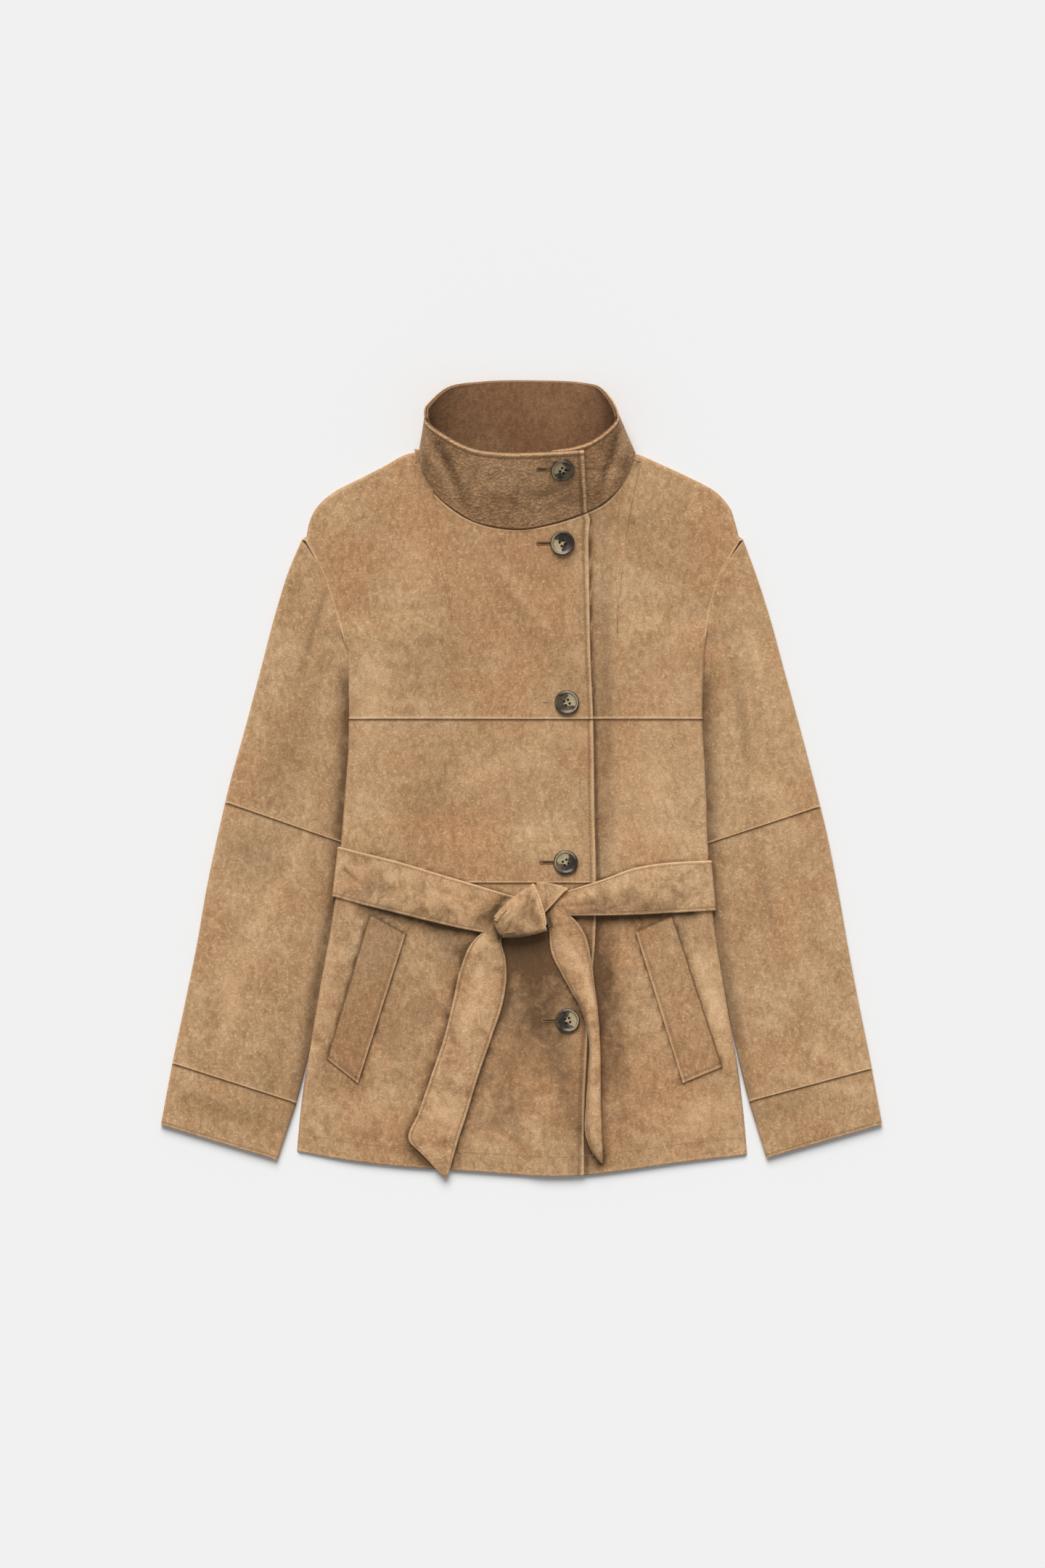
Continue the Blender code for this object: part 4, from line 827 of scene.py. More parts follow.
COVERS = shades(KNOT_WRAP[:2], (9, 1.1)) + shades(NECK_SEAM, (2.4, 0.35))
for rows in BELT_FRONT.values():
    COVERS += shades([row[2:] for row in rows], (7, 0.95), (3, 1.3))
    COVERS += shades([row[:2] for row in rows], (1.8, 0.8))
for rows in (TAIL_RIGHT, TAIL_LEFT):
    for edge in (slice(0, 2), slice(9, 11)):
        COVERS += shades([row[edge] for row in rows[2:]], (6.5, 0.7), (2.8, 1.15))
for corners in WELTS.values():
    for first, last in ((3, 0), (0, 1), (1, 2)):
        COVERS += shades([corners[first], corners[last]], (1.7, 0.8))
print("covering curves:", len(COVERS))

# %% [markdown]
# ## Fronts
# Each front is an upper, a middle and a lower piece. They fold over at the side seams and at the shoulders,
# and the right one laps over the left.

# %% Fronts
# Creases seen on the fronts: x, y, half length, half width, direction in degrees, height
FRONT_CREASES = [
    (-150, 250, 40, 5, 40, -0.6), (-95, 235, 40, 7, 60, 0.6), (-60, 150, 60, 9, 20, -0.5),
    (140, 250, 42, 6, 140, -0.6), (110, 215, 45, 8, 115, 0.6), (-165, 30, 26, 4, 10, -0.5),
    (-150, -60, 30, 5, 25, 0.6), (-100, -85, 45, 5, 8, -0.6), (150, -60, 34, 5, -20, 0.6),
    (110, -78, 40, 5, -5, -0.6), (-90, -180, 40, 6, 78, -0.7), (-40, -190, 36, 5, 95, 0.6),
    (130, -180, 40, 6, 100, -0.6), (100, -260, 60, 8, 86, -0.6), (180, -350, 30, 6, 60, 0.6),
    (-150, -350, 40, 7, 95, -0.6),
]
# Places painted lighter or darker, in the same form: brushed nap, painted shade in hollows and beside raised
# edges, and painted light on raised places
FRONT_MARKS = [
    (85, 60, 187, 9, 90, -0.45), (16, 153, 59, 12, -55, -0.3), (-2, 190, 62, 7, -55, 0.35),
    (-107, 212, 39, 22, 70, 0.15), (-151, 80, 40, 15, 80, 0.5), (-88, 128, 59, 28, 30, -0.14),
    (-88, -10, 59, 22, 70, -0.2), (-4, 19, 59, 16, 30, 0.2), (134, 0, 79, 24, 92, 0.35),
    (165, 98, 69, 16, 100, 0.2), (110, 261, 24, 8, -10, -0.3), (-66, -170, 30, 14, -25, -0.6),
    (-135, -240, 80, 55, 90, -0.18), (149, -165, 46, 14, 0, -0.35), (8, -175, 40, 26, -10, -0.95),
    (5, -225, 60, 30, -80, -0.65), (36, -270, 110, 18, -78, -0.55), (86, -190, 60, 11, -85, -0.6),
    (95, -270, 80, 12, -86, -0.5), (-20, -320, 60, 24, 80, -0.3), (-103, -387, 18, 9, -30, -0.6),
    (-161, -207, 61, 20, 76, -0.4), (-198, -207, 69, 8, 78, 0.25), (-142, -336, 59, 16, 10, 0.2),
    (194, -227, 73, 12, -77, 0.7), (184, -341, 39, 20, 20, 0.35),
]
# Where each shoulder line ends, tucked under the wall of the collar, and the neck seam it runs into
UNDER_COLLAR = {"right": (-100.5, 336.4), "left": (110.5, 335.7)}
NECK_GAP = SEAM * 0.3
# Reach and depth of the shade beside the front edge that laps over
LAP_SHADES = ((4.0, 0.75), (1.8, 0.5))
NECK_ENDS = {"right": (-105.5, float(front_edge_x(271))), "left": (33.0, 116.3)}
NECK_TOP_Y = 322.0
NECK_CENTRE = (5, 335)


def upright(edge_x, low, high):
    """Points of an edge that is given by its x at each height."""
    y = np.linspace(low, high, 120)
    return np.stack([edge_x(y), y], axis=1)


def side_points(side, low, high):
    return upright(lambda y: table_x(SIDE_EDGE, side, y), low, high)


def armhole_points(side):
    return path([(row[COLUMN[side]], row[0]) for row in reversed(ARMHOLE)])


def shoulder_points(side):
    return path(shoulder_knots(side)[::-1])


def neck_points(side):
    """The neck seam of one front, from the shoulder to the front edge."""
    low, high = NECK_ENDS[side]
    points = path(NECK_SEAM, 400)
    points = points[(points[:, 0] >= low - 0.4) & (points[:, 0] <= high + 0.4)]
    points = points + unit(points - np.array(NECK_CENTRE)) * NECK_GAP
    points = points[points[:, 1] < NECK_TOP_Y]
    return np.concatenate([[UNDER_COLLAR[side]], points[::-SIDES[side]]])


def side_turn(points):
    """Full fold along the side, none along the armhole."""
    return math.pi / 2 * (1 - ramp(points[:, 1], 131, 150))


def shoulder_turn(points):
    """Full fold along the shoulder, none along the neck seam."""
    return math.pi / 2 * ramp(np.abs(points[:, 0] - 5.4), 106, 118)


def front_marks(side):
    """Brushed nap, painted light and painted shade of a front. The left one gets painted shade beside the
    right one's edge.
    """
    def found(x, y):
        total = folds(FRONT_MARKS, x, y) - shade_of(COVERS, x, y)
        beyond = x - front_edge_x(y)
        under_lap = sum(depth * bump(beyond, 0, reach) for reach, depth in LAP_SHADES) * (beyond > -1)
        return total - under_lap * (side == "left")
    return found


def front_piece(part, side, outer, edge, bottom, top, kinds, tint, rolls, material=SUEDE):
    """A piece of a front. Its curves run up and from the side to the front edge. kinds are the seams at the
    side, the bottom and the top."""
    curves, seams, folded = (outer, edge, bottom, top), (kinds[0], "folded"), "left"
    if side == "left":
        curves, seams, folded = (edge, outer, bottom[::-1], top[::-1]), ("plain", kinds[0]), "right"
    made = panel(f"{part}_{side}", curves, FRONT_TOPS[side], seams + kinds[1:], tint,
                 {folded: side_turn, **rolls}, extra=folding(FRONT_CREASES), marks=front_marks(side))
    dress(made, f"front_{side}_{part}", material=material)


def front_yoke(side):
    low = CHEST_SEAM_Y + SEAM / 2
    outer = join(side_points(side, low, UNDERARM_Y), armhole_points(side))
    shoulder, neck = shoulder_points(side), neck_points(side)
    shoulder[-1] = neck[0]
    edge = upright(lambda y: front_edge_x(y) - LAP * (side == "left"), low, neck[-1, 1])
    edge[-1] = neck[-1]
    top = averaged(at_shares(join(shoulder, neck), EVEN), 2)
    front_piece("yoke", side, outer, edge, straight(outer[0], edge[0]), top, ("ridge", "ridge", "ridge"), 0.5,
                {"top": shoulder_turn})


def front_band(part, side, low, high, tint, material=SUEDE):
    """A stretch of the front between two level seams, or down to the hem."""
    shift = -LAP * (side == "left")
    low_side = low_edge = (low or 0) + SEAM / 2
    if low is None:
        low_side = float(hem_y(table_x(SIDE_EDGE, side, -382)))
        low_edge = float(hem_y(float(front_edge_x(-400)) + shift))
    outer = side_points(side, low_side, high - SEAM / 2)
    edge = upright(lambda y: front_edge_x(y) + shift, low_edge, high - SEAM / 2)
    bottom = at_shares(straight(outer[0], edge[0]), EVEN)
    if low is None:
        bottom[:, 1] = hem_y(bottom[:, 0])
    front_piece(part, side, outer, edge, bottom, straight(outer[-1], edge[-1]),
                ("plain", "hem" if low is None else "ridge", "under"), tint, {}, material)


for side in SIDES:
    front_yoke(side)
    front_band("middle", side, WAIST_SEAM_Y, CHEST_SEAM_Y, 0.55)
    front_band("skirt", side, None, WAIST_SEAM_Y, 0.5, SKIRT)
print({node: made.outer.shape[:2] for node, made in parts.items()})

# %% [markdown]
# ## Back
# The back is one piece. It lies on the floor, or on the belt and the sleeves where those run under it.

# %% Back
BACK_INSET = 3.6
BACK_SHOULDER_INSET = 5.0
BACK_ARMHOLE_INSET = 1.5
BACK_HEM_INSET = 3.0
BACK_NECK = [(-101, 322), (-84, 319), (-45, 316.5), (5, 315), (55, 316.5), (95, 319), (111, 321.5)]
# Creases where the back lifts off the floor a little
BACK_CREASES = [
    (-120, 200, 60, 7, 35, 0.6), (110, 215, 66, 8, 146, 0.5), (-60, 60, 80, 9, 12, 0.5),
    (90, 20, 70, 7, -14, 0.6), (-110, -180, 74, 8, 82, 0.6), (20, -210, 90, 9, 96, 0.5),
    (120, -250, 70, 7, 78, 0.6), (-30, -340, 50, 6, 65, 0.5),
]


def back():
    neck = path(BACK_NECK)
    edges, tops = {}, {}
    for side, outwards in SIDES.items():
        edge = side_points(side, -380, UNDERARM_Y)
        edge[:, 0] -= outwards * BACK_INSET
        edge[0, 1] = float(hem_y(edge[0, 0])) + BACK_HEM_INSET
        armhole = armhole_points(side)[:-6]
        high = ramp(armhole[:, 1], 150, 170)
        armhole[:, 0] -= outwards * (BACK_INSET * (1 - high) + BACK_ARMHOLE_INSET * high)
        shoulder = shoulder_points(side)
        shoulder = shoulder + outward_of(shoulder, (0, -1)) * BACK_SHOULDER_INSET
        shoulder[0], shoulder[-1] = armhole[-1], neck[0 if side == "right" else -1]
        edges[side], tops[side] = join(edge, armhole), shoulder
    bottom = at_shares(straight(edges["right"][0], edges["left"][0]), EVEN)
    bottom[:, 1] = hem_y(bottom[:, 0]) + BACK_HEM_INSET
    curves = (*edges.values(), bottom, join(tops["right"], neck, tops["left"][::-1]))
    return panel("back_panel", curves, lambda x, y: back_floor(x, y) + WALL, ("plain",) * 4, 0.45, step=5.0,
                 wall=WALL, extra=folding(BACK_CREASES))


dress(back(), "back")
print("back", parts["back"].outer.shape[:2])

# %% [markdown]
# ## Sleeves
# A sleeve is a flattened tube, closed by a seam underneath near its inner fold, in an upper piece, a lower
# piece and a cuff.

# %% Sleeves
# Ends of the seams across each sleeve and of its cuff: outer fold, inner fold
ELBOW_SEAM = {"right": ((-301.9, -24.3), (-174, -68.5)), "left": ((304.6, -28.6), (180.2, -69.5))}
CUFF_SEAM = {"right": ((-355.7, -290), (-229.3, -330.6)), "left": ((357, -295.5), (231.8, -329))}
CUFF_END = {"right": ((-367.4, -352.2), (-248.5, -388)), "left": ((367.4, -351.8), (249.5, -386))}
SEAM_FROM_FOLD = 0.16
ARMHOLE_GAP = -0.5
# How far from the body's edge a sleeve still lies in its shade
BODY_SHADE = 11.0
# The lie of the sleeves, then the finer creases seen on them, and their places painted lighter or darker:
# brushed nap, with painted shade and painted light along the creases
SLEEVE_LIE = [
    (-215, 60, 70, 14, 100, -0.8), (-250, 60, 90, 20, 68, 0.8), (-240, -60, 60, 14, 150, -0.7),
    (-285, -150, 90, 18, 78, 0.8), (-240, -220, 70, 14, 100, -0.7), (230, 70, 80, 16, 82, -0.8),
    (265, 60, 90, 20, 110, 0.8), (245, -150, 80, 16, 104, 0.8), (300, -200, 70, 16, 98, -0.7),
    (285, -60, 60, 14, 30, 0.7),
]
SLEEVE_CREASES = [
    (-205, 90, 50, 6, 80, -0.8), (-190, 20, 30, 5, 70, 0.7), (-290, -75, 40, 7, 70, -0.6),
    (-330, -235, 40, 6, 74, 0.6), (215, 90, 50, 6, 100, -0.8), (205, 10, 34, 5, 106, 0.7),
    (260, -110, 50, 8, 120, -0.6), (320, -235, 44, 7, 104, 0.7),
]
SLEEVE_MARKS = [
    (-212, 150, 46, 4, 72, -0.45), (-204, 158, 40, 4, 72, 0.3), (-250, -115, 40, 6, 60, 0.3),
    (-300, -240, 50, 7, 78, 0.35), (240, 120, 60, 6, -72, 0.35), (225, 60, 50, 5, -80, -0.35),
    (250, -120, 50, 6, -78, -0.3), (330, -300, 24, 5, -70, 0.3), (-236, 30, 70, 22, 72, -0.25),
    (-270, -79, 24, 30, 70, -0.3), (-285, -180, 60, 16, 76, 0.25), (-255, -300, 40, 14, 70, -0.25),
    (265, 90, 70, 16, -74, 0.25), (260, -20, 40, 14, -70, 0.35), (282, -168, 60, 16, -70, 0.15),
    (313, -281, 30, 5, -25, 0.45), (297, -306, 39, 5, -15, 0.3), (-300, -338, 60, 10, -15, -0.3),
    (263, -335, 39, 12, 20, -0.3),
]
# Columns of a tube: the first and last on its upper face, and those of its folds
TOP_FIRST, TOP_LAST = 16, 56
FOLD_COLUMNS = (12, 60)
# How much painted highlight the two folds of a sleeve get
SLEEVE_FOLD_HIGHLIGHT = 0.3


def tube_loop(line, radii, offset, rise):
    """One section: underneath from the seam inwards, over the inner fold, across the top and back."""
    width = run_of(line)[-1]
    first, last = radii[0] / width, 1 - radii[1] / width
    across = unit(line[-1] - line[0])
    turn = math.pi * np.arange(1, 9) / 8

    def underneath(start, end, count):
        return np.column_stack([at_shares(line, np.linspace(start, end, count)), np.full(count, offset)])

    def over_fold(share, radius, way):
        """Half a turn round a fold."""
        small = radius - offset
        flat = at_shares(line, np.atleast_1d(share)) + way * across * (np.sin(turn) * small)[:, None]
        return np.column_stack([flat, radius + way * small * np.cos(turn)])

    shares = np.linspace(first, last, 42)
    at = at_shares(line, shares)
    ends = 2 * blend(*radii, shares)
    free = ramp(np.minimum(shares - first, last - shares), 0, 0.12)
    top = ends + (sleeve_top(*at.T) - ends + folds(SLEEVE_LIE + SLEEVE_CREASES, *at.T)) * free
    gap = SEAM / 2 / width
    return np.concatenate([
        underneath(SEAM_FROM_FOLD - gap, first, 8), over_fold(first, radii[0], -1),
        np.column_stack([at, top - offset + rise])[1:], over_fold(last, radii[1], 1),
        underneath(last, SEAM_FROM_FOLD + gap, 22)[1:],
    ])


def tube(name, inner_edge, outer_edge, start, end, tint, seams):
    """Flat tube of suede, open along a seam underneath. Edges and ends are curves on the floor plan."""
    tall = (run_of(inner_edge)[-1] + run_of(outer_edge)[-1]) / 2
    down = shares_for(tall, 4)
    plan = coons(inner_edge, outer_edge, start, end, np.linspace(0, 1, 60), down)
    rise, wear = sewn_relief(("none", "none", *seams), np.zeros(1), down * tall)
    heights = [[float(sleeve_top(*line[k])) / 2 for k in (0, -1)] for line in plan]
    layers = [np.array([tube_loop(line, middle, offset, swell)
                        for line, middle, swell in zip(plan, heights, rise[:, 0])])
              for offset in (0.0, PANEL_WALL)]
    whole = layers[0]
    folded = sum(bump(np.arange(whole.shape[1]), column, 3) for column in FOLD_COLUMNS)
    made = Panel(whole[:, TOP_FIRST:TOP_LAST], grid_normals(whole)[:, TOP_FIRST:TOP_LAST],
                 np.linspace(0, 1, TOP_LAST - TOP_FIRST), down,
                 float(np.linalg.norm(plan[0, -1] - plan[0, 0])), tall)
    made.normal = made.normal * np.sign(made.normal[:, :, 2:].mean())
    made.whole = whole
    made.piece = cloth(name, *layers, wear + SLEEVE_FOLD_HIGHLIGHT * folded, tint, sleeve_marks)
    return made


def sleeve_marks(x, y):
    """Brushed nap with painted light and shade, and the painted shade of the body that lies on the sleeve."""
    beside = np.maximum(np.abs(x) - either_side(SIDE_EDGE, x, y), 0)
    shaded = bump(beside, 0, BODY_SHADE) * (1 - ramp(y, 90, 128))
    return folds(SLEEVE_MARKS, x, y) - np.where(x < 0, 1, 0.8) * shaded


def edge_between(table, side, start, end):
    """Edge of a sleeve between two points that lie on or near it."""
    t = np.linspace(0, 1, 120)
    y = blend(start[1], end[1], t)
    x = table_x(table, side, y)
    return np.stack([x + blend(start[0] - x[0], end[0] - x[-1], t), y], axis=1)


def sleeve(side):
    armhole = armhole_points(side)
    armhole[:, 0] += SIDES[side] * ARMHOLE_GAP
    underarm = (SLEEVE_INNER[0][COLUMN[side]], SLEEVE_INNER[0][0])
    gap = np.array([0, SEAM / 2])
    start = join(straight(underarm, armhole[0]), armhole)
    for part, seam, tint, kinds in (("upper", ELBOW_SEAM, 0.42, ("tucked", "ridge")),
                                    ("lower", CUFF_SEAM, 0.38, ("under", "ridge"))):
        end = straight(*seam[side][::-1])
        inner = edge_between(SLEEVE_INNER, side, start[0], end[0] + gap)
        outer = edge_between(SLEEVE_OUTER, side, start[-1], end[-1] + gap)
        dress(tube(f"sleeve_{part}_{side}", inner, outer, start, end + gap, tint, kinds),
              f"sleeve_{side}_{part}")
        start = end - gap
    end = straight(*CUFF_END[side][::-1])
    dress(tube(f"cuff_of_{side}", straight(start[0], end[0]), straight(start[1], end[1]), start, end, 0.5,
               ("under", "stitched")), f"cuff_{side}")


for side in SIDES:
    sleeve(side)
print("sleeve grid", parts["sleeve_right_upper"].outer.shape[:2])

# %% [markdown]
# ## Collar
# The funnel collar is one strip that runs round the neck as a spiral, from the end of its flap to the end
# beneath it. It has an outer piece and a facing of the same suede, whose colour is painted darker as
# painted shade for the inside of the collar.

# %% Collar
# Sections of the collar: x, y, z of the rim and x, y, z of the neck seam
COLLAR = [
    (63.3, 331.5, 50, 67, 271.4, 12.4), (23.3, 329.3, 52, 29.2, 259, 12.4),
    (-17.4, 328.6, 52, -1.1, 254.2, 12), (-55.1, 334.5, 51, -31.4, 257.2, 11),
    (-78.8, 347.1, 49, -47, 261.2, 10.2), (-95.8, 358.9, 47, -55.9, 265.7, 9.6),
    (-98, 367.8, 46, -80.3, 282.7, 6.4), (-98, 373.7, 44, -98.8, 303.4, 4.6),
    (-95.1, 379.6, 41, -105.1, 335.2, 3.6), (-78.8, 395.9, 28, -84, 324.9, 0.8),
    (-42.5, 404, 12, -43.3, 318.9, 0.3), (21.8, 405.5, 8, 4.8, 316.7, 0.3),
    (65.5, 402.6, 12, 60.3, 319.7, 0.3), (83.2, 395.9, 24, 101, 326.3, 0.8),
    (94.3, 379.6, 40, 117.3, 333.7, 3.2), (97.3, 370.7, 45, 113.6, 316.7, 4.6),
    (97.3, 362.6, 46, 93.6, 288.6, 7.4), (92.1, 355.9, 46, 75.1, 275.4, 8.4),
    (75.1, 342.6, 45.5, 60.3, 269.4, 6.9), (52.9, 334.5, 46, 38.1, 262, 6.9),
    (30.7, 331.5, 46, 19.6, 257.8, 6.9),
]
COLLAR_TALL = 86.0
COLLAR_ROUND = 620.0
COLLAR_WALL = WALL * 0.9
COLLAR_EASE = 9
# Creases of the collar: share along, share up, half length, half width, direction in degrees, height in mm
COLLAR_CREASES = [
    (0.21, 0.55, 0.36, 0.01, 96, -1.6), (0.235, 0.5, 0.3, 0.012, 94, 1.2), (0.87, 0.5, 0.34, 0.01, 84, -1.4),
    (0.14, 0.4, 0.2, 0.02, 70, 0.8), (0.06, 0.45, 0.18, 0.02, 110, -0.6), (0.3, 0.6, 0.25, 0.012, 90, 0.8),
]
# Places of the collar painted lighter or darker, with brushed nap: painted shade in its creases and painted
# light beside them; x, y, half length, half width, direction in degrees, lightness
COLLAR_MARKS = [
    (-19, 320, 46, 6, -5, 0.3), (0, 286, 66, 10, 2, -0.35), (-72, 317, 47, 4.5, -65, -0.85),
    (-82, 313, 45, 3.5, -65, 0.6), (-98, 318, 14, 5, -80, -0.6), (14, 303, 30, 7, 15, 0.3),
    (86, 315, 43, 4, 72, -0.85), (95, 316, 40, 3.5, 72, 0.55), (106, 320, 20, 4, 75, -0.5),
    (61, 296, 34, 2.6, 95, -0.8), (40, 282, 20, 6, 10, -0.25), (-40, 296, 22, 5, -25, 0.25),
]


def ribbon(name, outer, seams, wall, extra=None, sign=1, marks=None):
    """A shell from a ready grid, whose rows run along it and whose columns run across it."""
    steps = [np.linalg.norm(np.diff(outer, axis=k), axis=2).mean(axis=1 - k) for k in (0, 1)]
    down, over = (np.concatenate([[0], np.cumsum(step)]) for step in steps)
    rise, wear = sewn_relief(seams, over, down)
    normal = grid_normals(outer) * sign
    if extra:
        rise = rise + extra(down[:, None] / down[-1], over[None] / over[-1])
    face = outer + normal * rise[:, :, None]
    made = Panel(face, normal, over / over[-1], down / down[-1], over[-1], down[-1])
    made.piece = cloth(name, face, outer - normal * wall, wear, 0.5, marks)
    return made


def collar_grid():
    sections = averaged(path(COLLAR, 620), COLLAR_EASE)
    up = shares_for(COLLAR_TALL, 3)[None, :, None]
    sections = at_shares(sections, shares_for(COLLAR_ROUND, 2))
    return blend(sections[:, None, 3:], sections[:, None, :3], up)


grid = collar_grid()
facing = grid - grid_normals(grid) * (2 * WALL + SEAM)
dress(ribbon("collar_outside", grid, ("tucked", "rim", "rim", "plain"), COLLAR_WALL, folding(COLLAR_CREASES),
             marks=folding(COLLAR_MARKS)), "collar", material=PEBBLED)
dress(ribbon("collar_inside", facing, ("plain", "belt", "folded", "plain"), COLLAR_WALL,
             folding(COLLAR_CREASES), -1), "collar_facing", SHADED_INSIDE)
print("collar grid", grid.shape[:2])

# %% [markdown]
# ## Pocket welts
# The welts lie slanted on the lower fronts, cut from a redder part of the skin.

# %% Pocket welts
WELT_TONE = {"right": -0.26, "left": -0.08}


def pocket_welt(side):
    upper_left, upper_right, lower_right, lower_left = WELTS[side]
    curves = [straight(*ends) for ends in ((lower_left, upper_left), (lower_right, upper_right),
                                           (lower_left, lower_right), (upper_left, upper_right))]
    seams = ("under", "welt")[:: -SIDES[side]] + ("welt", "under")
    return panel(f"welt_{side}", curves, lambda x, y: FRONT_TOPS[side](x, y) + LAY + WALL, seams, 0.85,
                 step=3.0, marks=lambda x, y: np.full(x.shape, WELT_TONE[side]))


for side in SIDES:
    dress(pocket_welt(side), f"pocket_welt_{side}")
print("welt grid", parts["pocket_welt_right"].outer.shape[:2])

# %% [markdown]
# ## Belt
# The belt is a doubled strip: it runs from the knot round both sides and behind the back, and its two ends
# come down from the knot.

# %% Belt
BELT_LAY = 0.95
BELT_CORNER = 3.0
# How far the lower edge of the belt stands off near the knot
BELT_STAND = 4.0
BELT_SKIN = BELT_WALL * 0.8
BELT_TIP = {"right": (-186.9, -69.1, -192.8, -119.9), "left": (193.6, -82.9, 198.2, -133.9)}
BELT_SHARES = shares_for(50, 2.5)
# The belt is handled more than the rest, so its nap is a little lighter
BELT_TONE = 0.12
# Creases of the belt, as share along it and across it, and its places in mm painted lighter or darker:
# brushed nap, painted shade in dimples and next to the knot, and painted light along raised edges
BELT_CREASES = [
    (0.02, 0.5, 0.035, 0.1, 4, -1.4), (0.06, 0.75, 0.03, 0.08, -3, -1), (0.03, 0.25, 0.03, 0.08, 2, 1),
    (0.93, 0.6, 0.05, 0.09, -2, -1.2), (0.955, 0.35, 0.03, 0.08, 3, 0.9), (0.985, 0.6, 0.02, 0.1, 4, -1.2),
]
BELT_MARKS = [
    (11, -114, 24, 7, 30, 0.3), (115, -99, 49, 7, 15, 0.5), (100, -125, 49, 8, 5, -0.4),
    (-137, -114, 49, 9, -14, -0.2), (-68, -138, 30, 8, -12, -0.45), (-9, -143, 16, 8, -20, -0.4),
    (-58, -267, 59, 10, 80, 0.35), (-43, -207, 30, 12, 70, 0.3), (-78, -346, 39, 12, 70, 0.25),
    (-88, -368, 18, 12, 40, -0.25), (45, -170, 18, 7, -50, 0.5), (68, -205, 25, 6, -70, 0.4),
    (72, -286, 79, 5, -88, 0.4), (-70, -300, 24, 12, 70, -0.3), (110, -133, 60, 5, 2, -0.45),
    (60, -104, 20, 5, 25, 0.35), (-110, -138, 50, 5, -10, -0.35), (-90, -100, 40, 6, -16, 0.25),
    (-34, -137, 9, 8, 40, -0.8), (30, -150, 12, 8, 60, -0.35), (-24, -158, 10, 12, 60, -0.5),
    (60, -130, 26, 7, 4, -0.4),
]
KNOT_SHADE = shades([*KNOT_WRAP, KNOT_WRAP[0]], (4, 1), count=160)


# Brushed nap and painted light of the belt, with painted shade round the knot
def belt_marks(x, y):
    return folds(BELT_MARKS, x, y) + BELT_TONE - shade_of(KNOT_SHADE, x, y)


def belt_tip(side):
    """x and y across the belt where it reaches the body's side."""
    tip = np.array(BELT_TIP[side])[:, None]
    return blend(tip[:2], tip[2:], BELT_SHARES)


def belt_turn(side):
    """The belt's way round the body's side, from the front face to the face underneath."""
    toward = SIDES[side]
    x, y = belt_tip(side)
    middle = x - toward * BELT_CORNER
    high = front_top(middle - toward * 3, y) + BELT_LAY + BELT_WALL - BELT_CORNER
    low = back_floor(middle, y) - BELT_LIFT + BELT_CORNER
    lines = []
    for base, first, last in ((high, 0, math.pi / 2), (low, math.pi / 2, math.pi)):
        for turn in np.linspace(first, last, 7):
            lines.append(np.stack([middle + toward * BELT_CORNER * math.sin(turn), y,
                                   base + BELT_CORNER * math.cos(turn)], axis=1))
    return np.array(lines)


def belt_front(side):
    """Sections across the front, from the knot to just before the side."""
    sections = path(BELT_FRONT[side], 60)
    flat = blend(sections[:, None, :2], sections[:, None, 2:], BELT_SHARES[None, :, None])
    away = 1 - ramp(np.linspace(0, 1, len(sections)), 0.55, 1)
    stand = BELT_STAND * ramp(BELT_SHARES, 0.1, 1)[None] * away[:, None]
    z = on_plan(lap_top, flat) + BELT_LAY + BELT_WALL + stand
    return np.concatenate([flat, z[:, :, None]], axis=2)


def belt_behind():
    """Sections under the back, from the right side to the left one."""
    right, left = belt_tip("right"), belt_tip("left")
    right[0] += BELT_CORNER + 6
    left[0] -= BELT_CORNER + 6
    s = np.linspace(0, 1, 80)[:, None]
    x, y = blend(right[:, None], left[:, None], s)
    return np.stack([x, y, np.maximum(back_floor(x, y) - BELT_LIFT, 0)], axis=2)


def belt_tail(side, table):
    """A free end of the belt, lying on the front in soft curves."""
    outer = np.array([at_shares(path(section.reshape(4, 3), 60), BELT_SHARES)
                      for section in path(table, 110)])
    outer[:, :, 2] += on_plan(lap_top, outer) + LAY + BELT_WALL
    made = ribbon(f"belt_end_{side}", outer, ("stitched", "stitched", "plain", "stitched"), BELT_SKIN,
                  sign=-1, marks=belt_marks)
    dress(made, f"belt_tail_{side}", material=HANDLED)


belt_grid = np.concatenate([belt_front("right"), belt_turn("right"), belt_behind(),
                            belt_turn("left")[::-1], belt_front("left")[::-1]])
dress(ribbon("belt", belt_grid, ("belt", "stitched", "plain", "plain"), BELT_SKIN, folding(BELT_CREASES), -1,
             belt_marks), "belt_band", material=HANDLED)
belt_tail("right", TAIL_RIGHT)
belt_tail("left", TAIL_LEFT)
print("belt grid", belt_grid.shape[:2])

# %% [markdown]
# ## Knot
# The belt is tied once. What shows is a wrap round both ends, and beside it a short stretch that turns over
# the left span.

# %% Knot
KNOT_HEIGHT = 14.4
KNOT_CROWN = 7.5
PASS_HEIGHT = 10.6
KNOT_RADIUS = 5.0
KNOT_TURN = math.radians(125)
PASS_RADIUS = 2.8
PASS_TURN = math.radians(80)
KNOT_BASE = float(lap_top(20, -130))
# Creases of the wrap: x, y, half length, half width, direction in degrees, height
KNOT_CREASES = [
    (-10, -148, 13, 2.2, 62, -2), (4, -151, 14, 2.2, 80, -1.8), (8, -124, 18, 2.6, 68, -1.9),
    (-15, -137, 13, 2.4, 36, 1.4), (-2, -134, 20, 4, 62, 1.5), (16, -140, 16, 2.2, 100, 1.3),
]
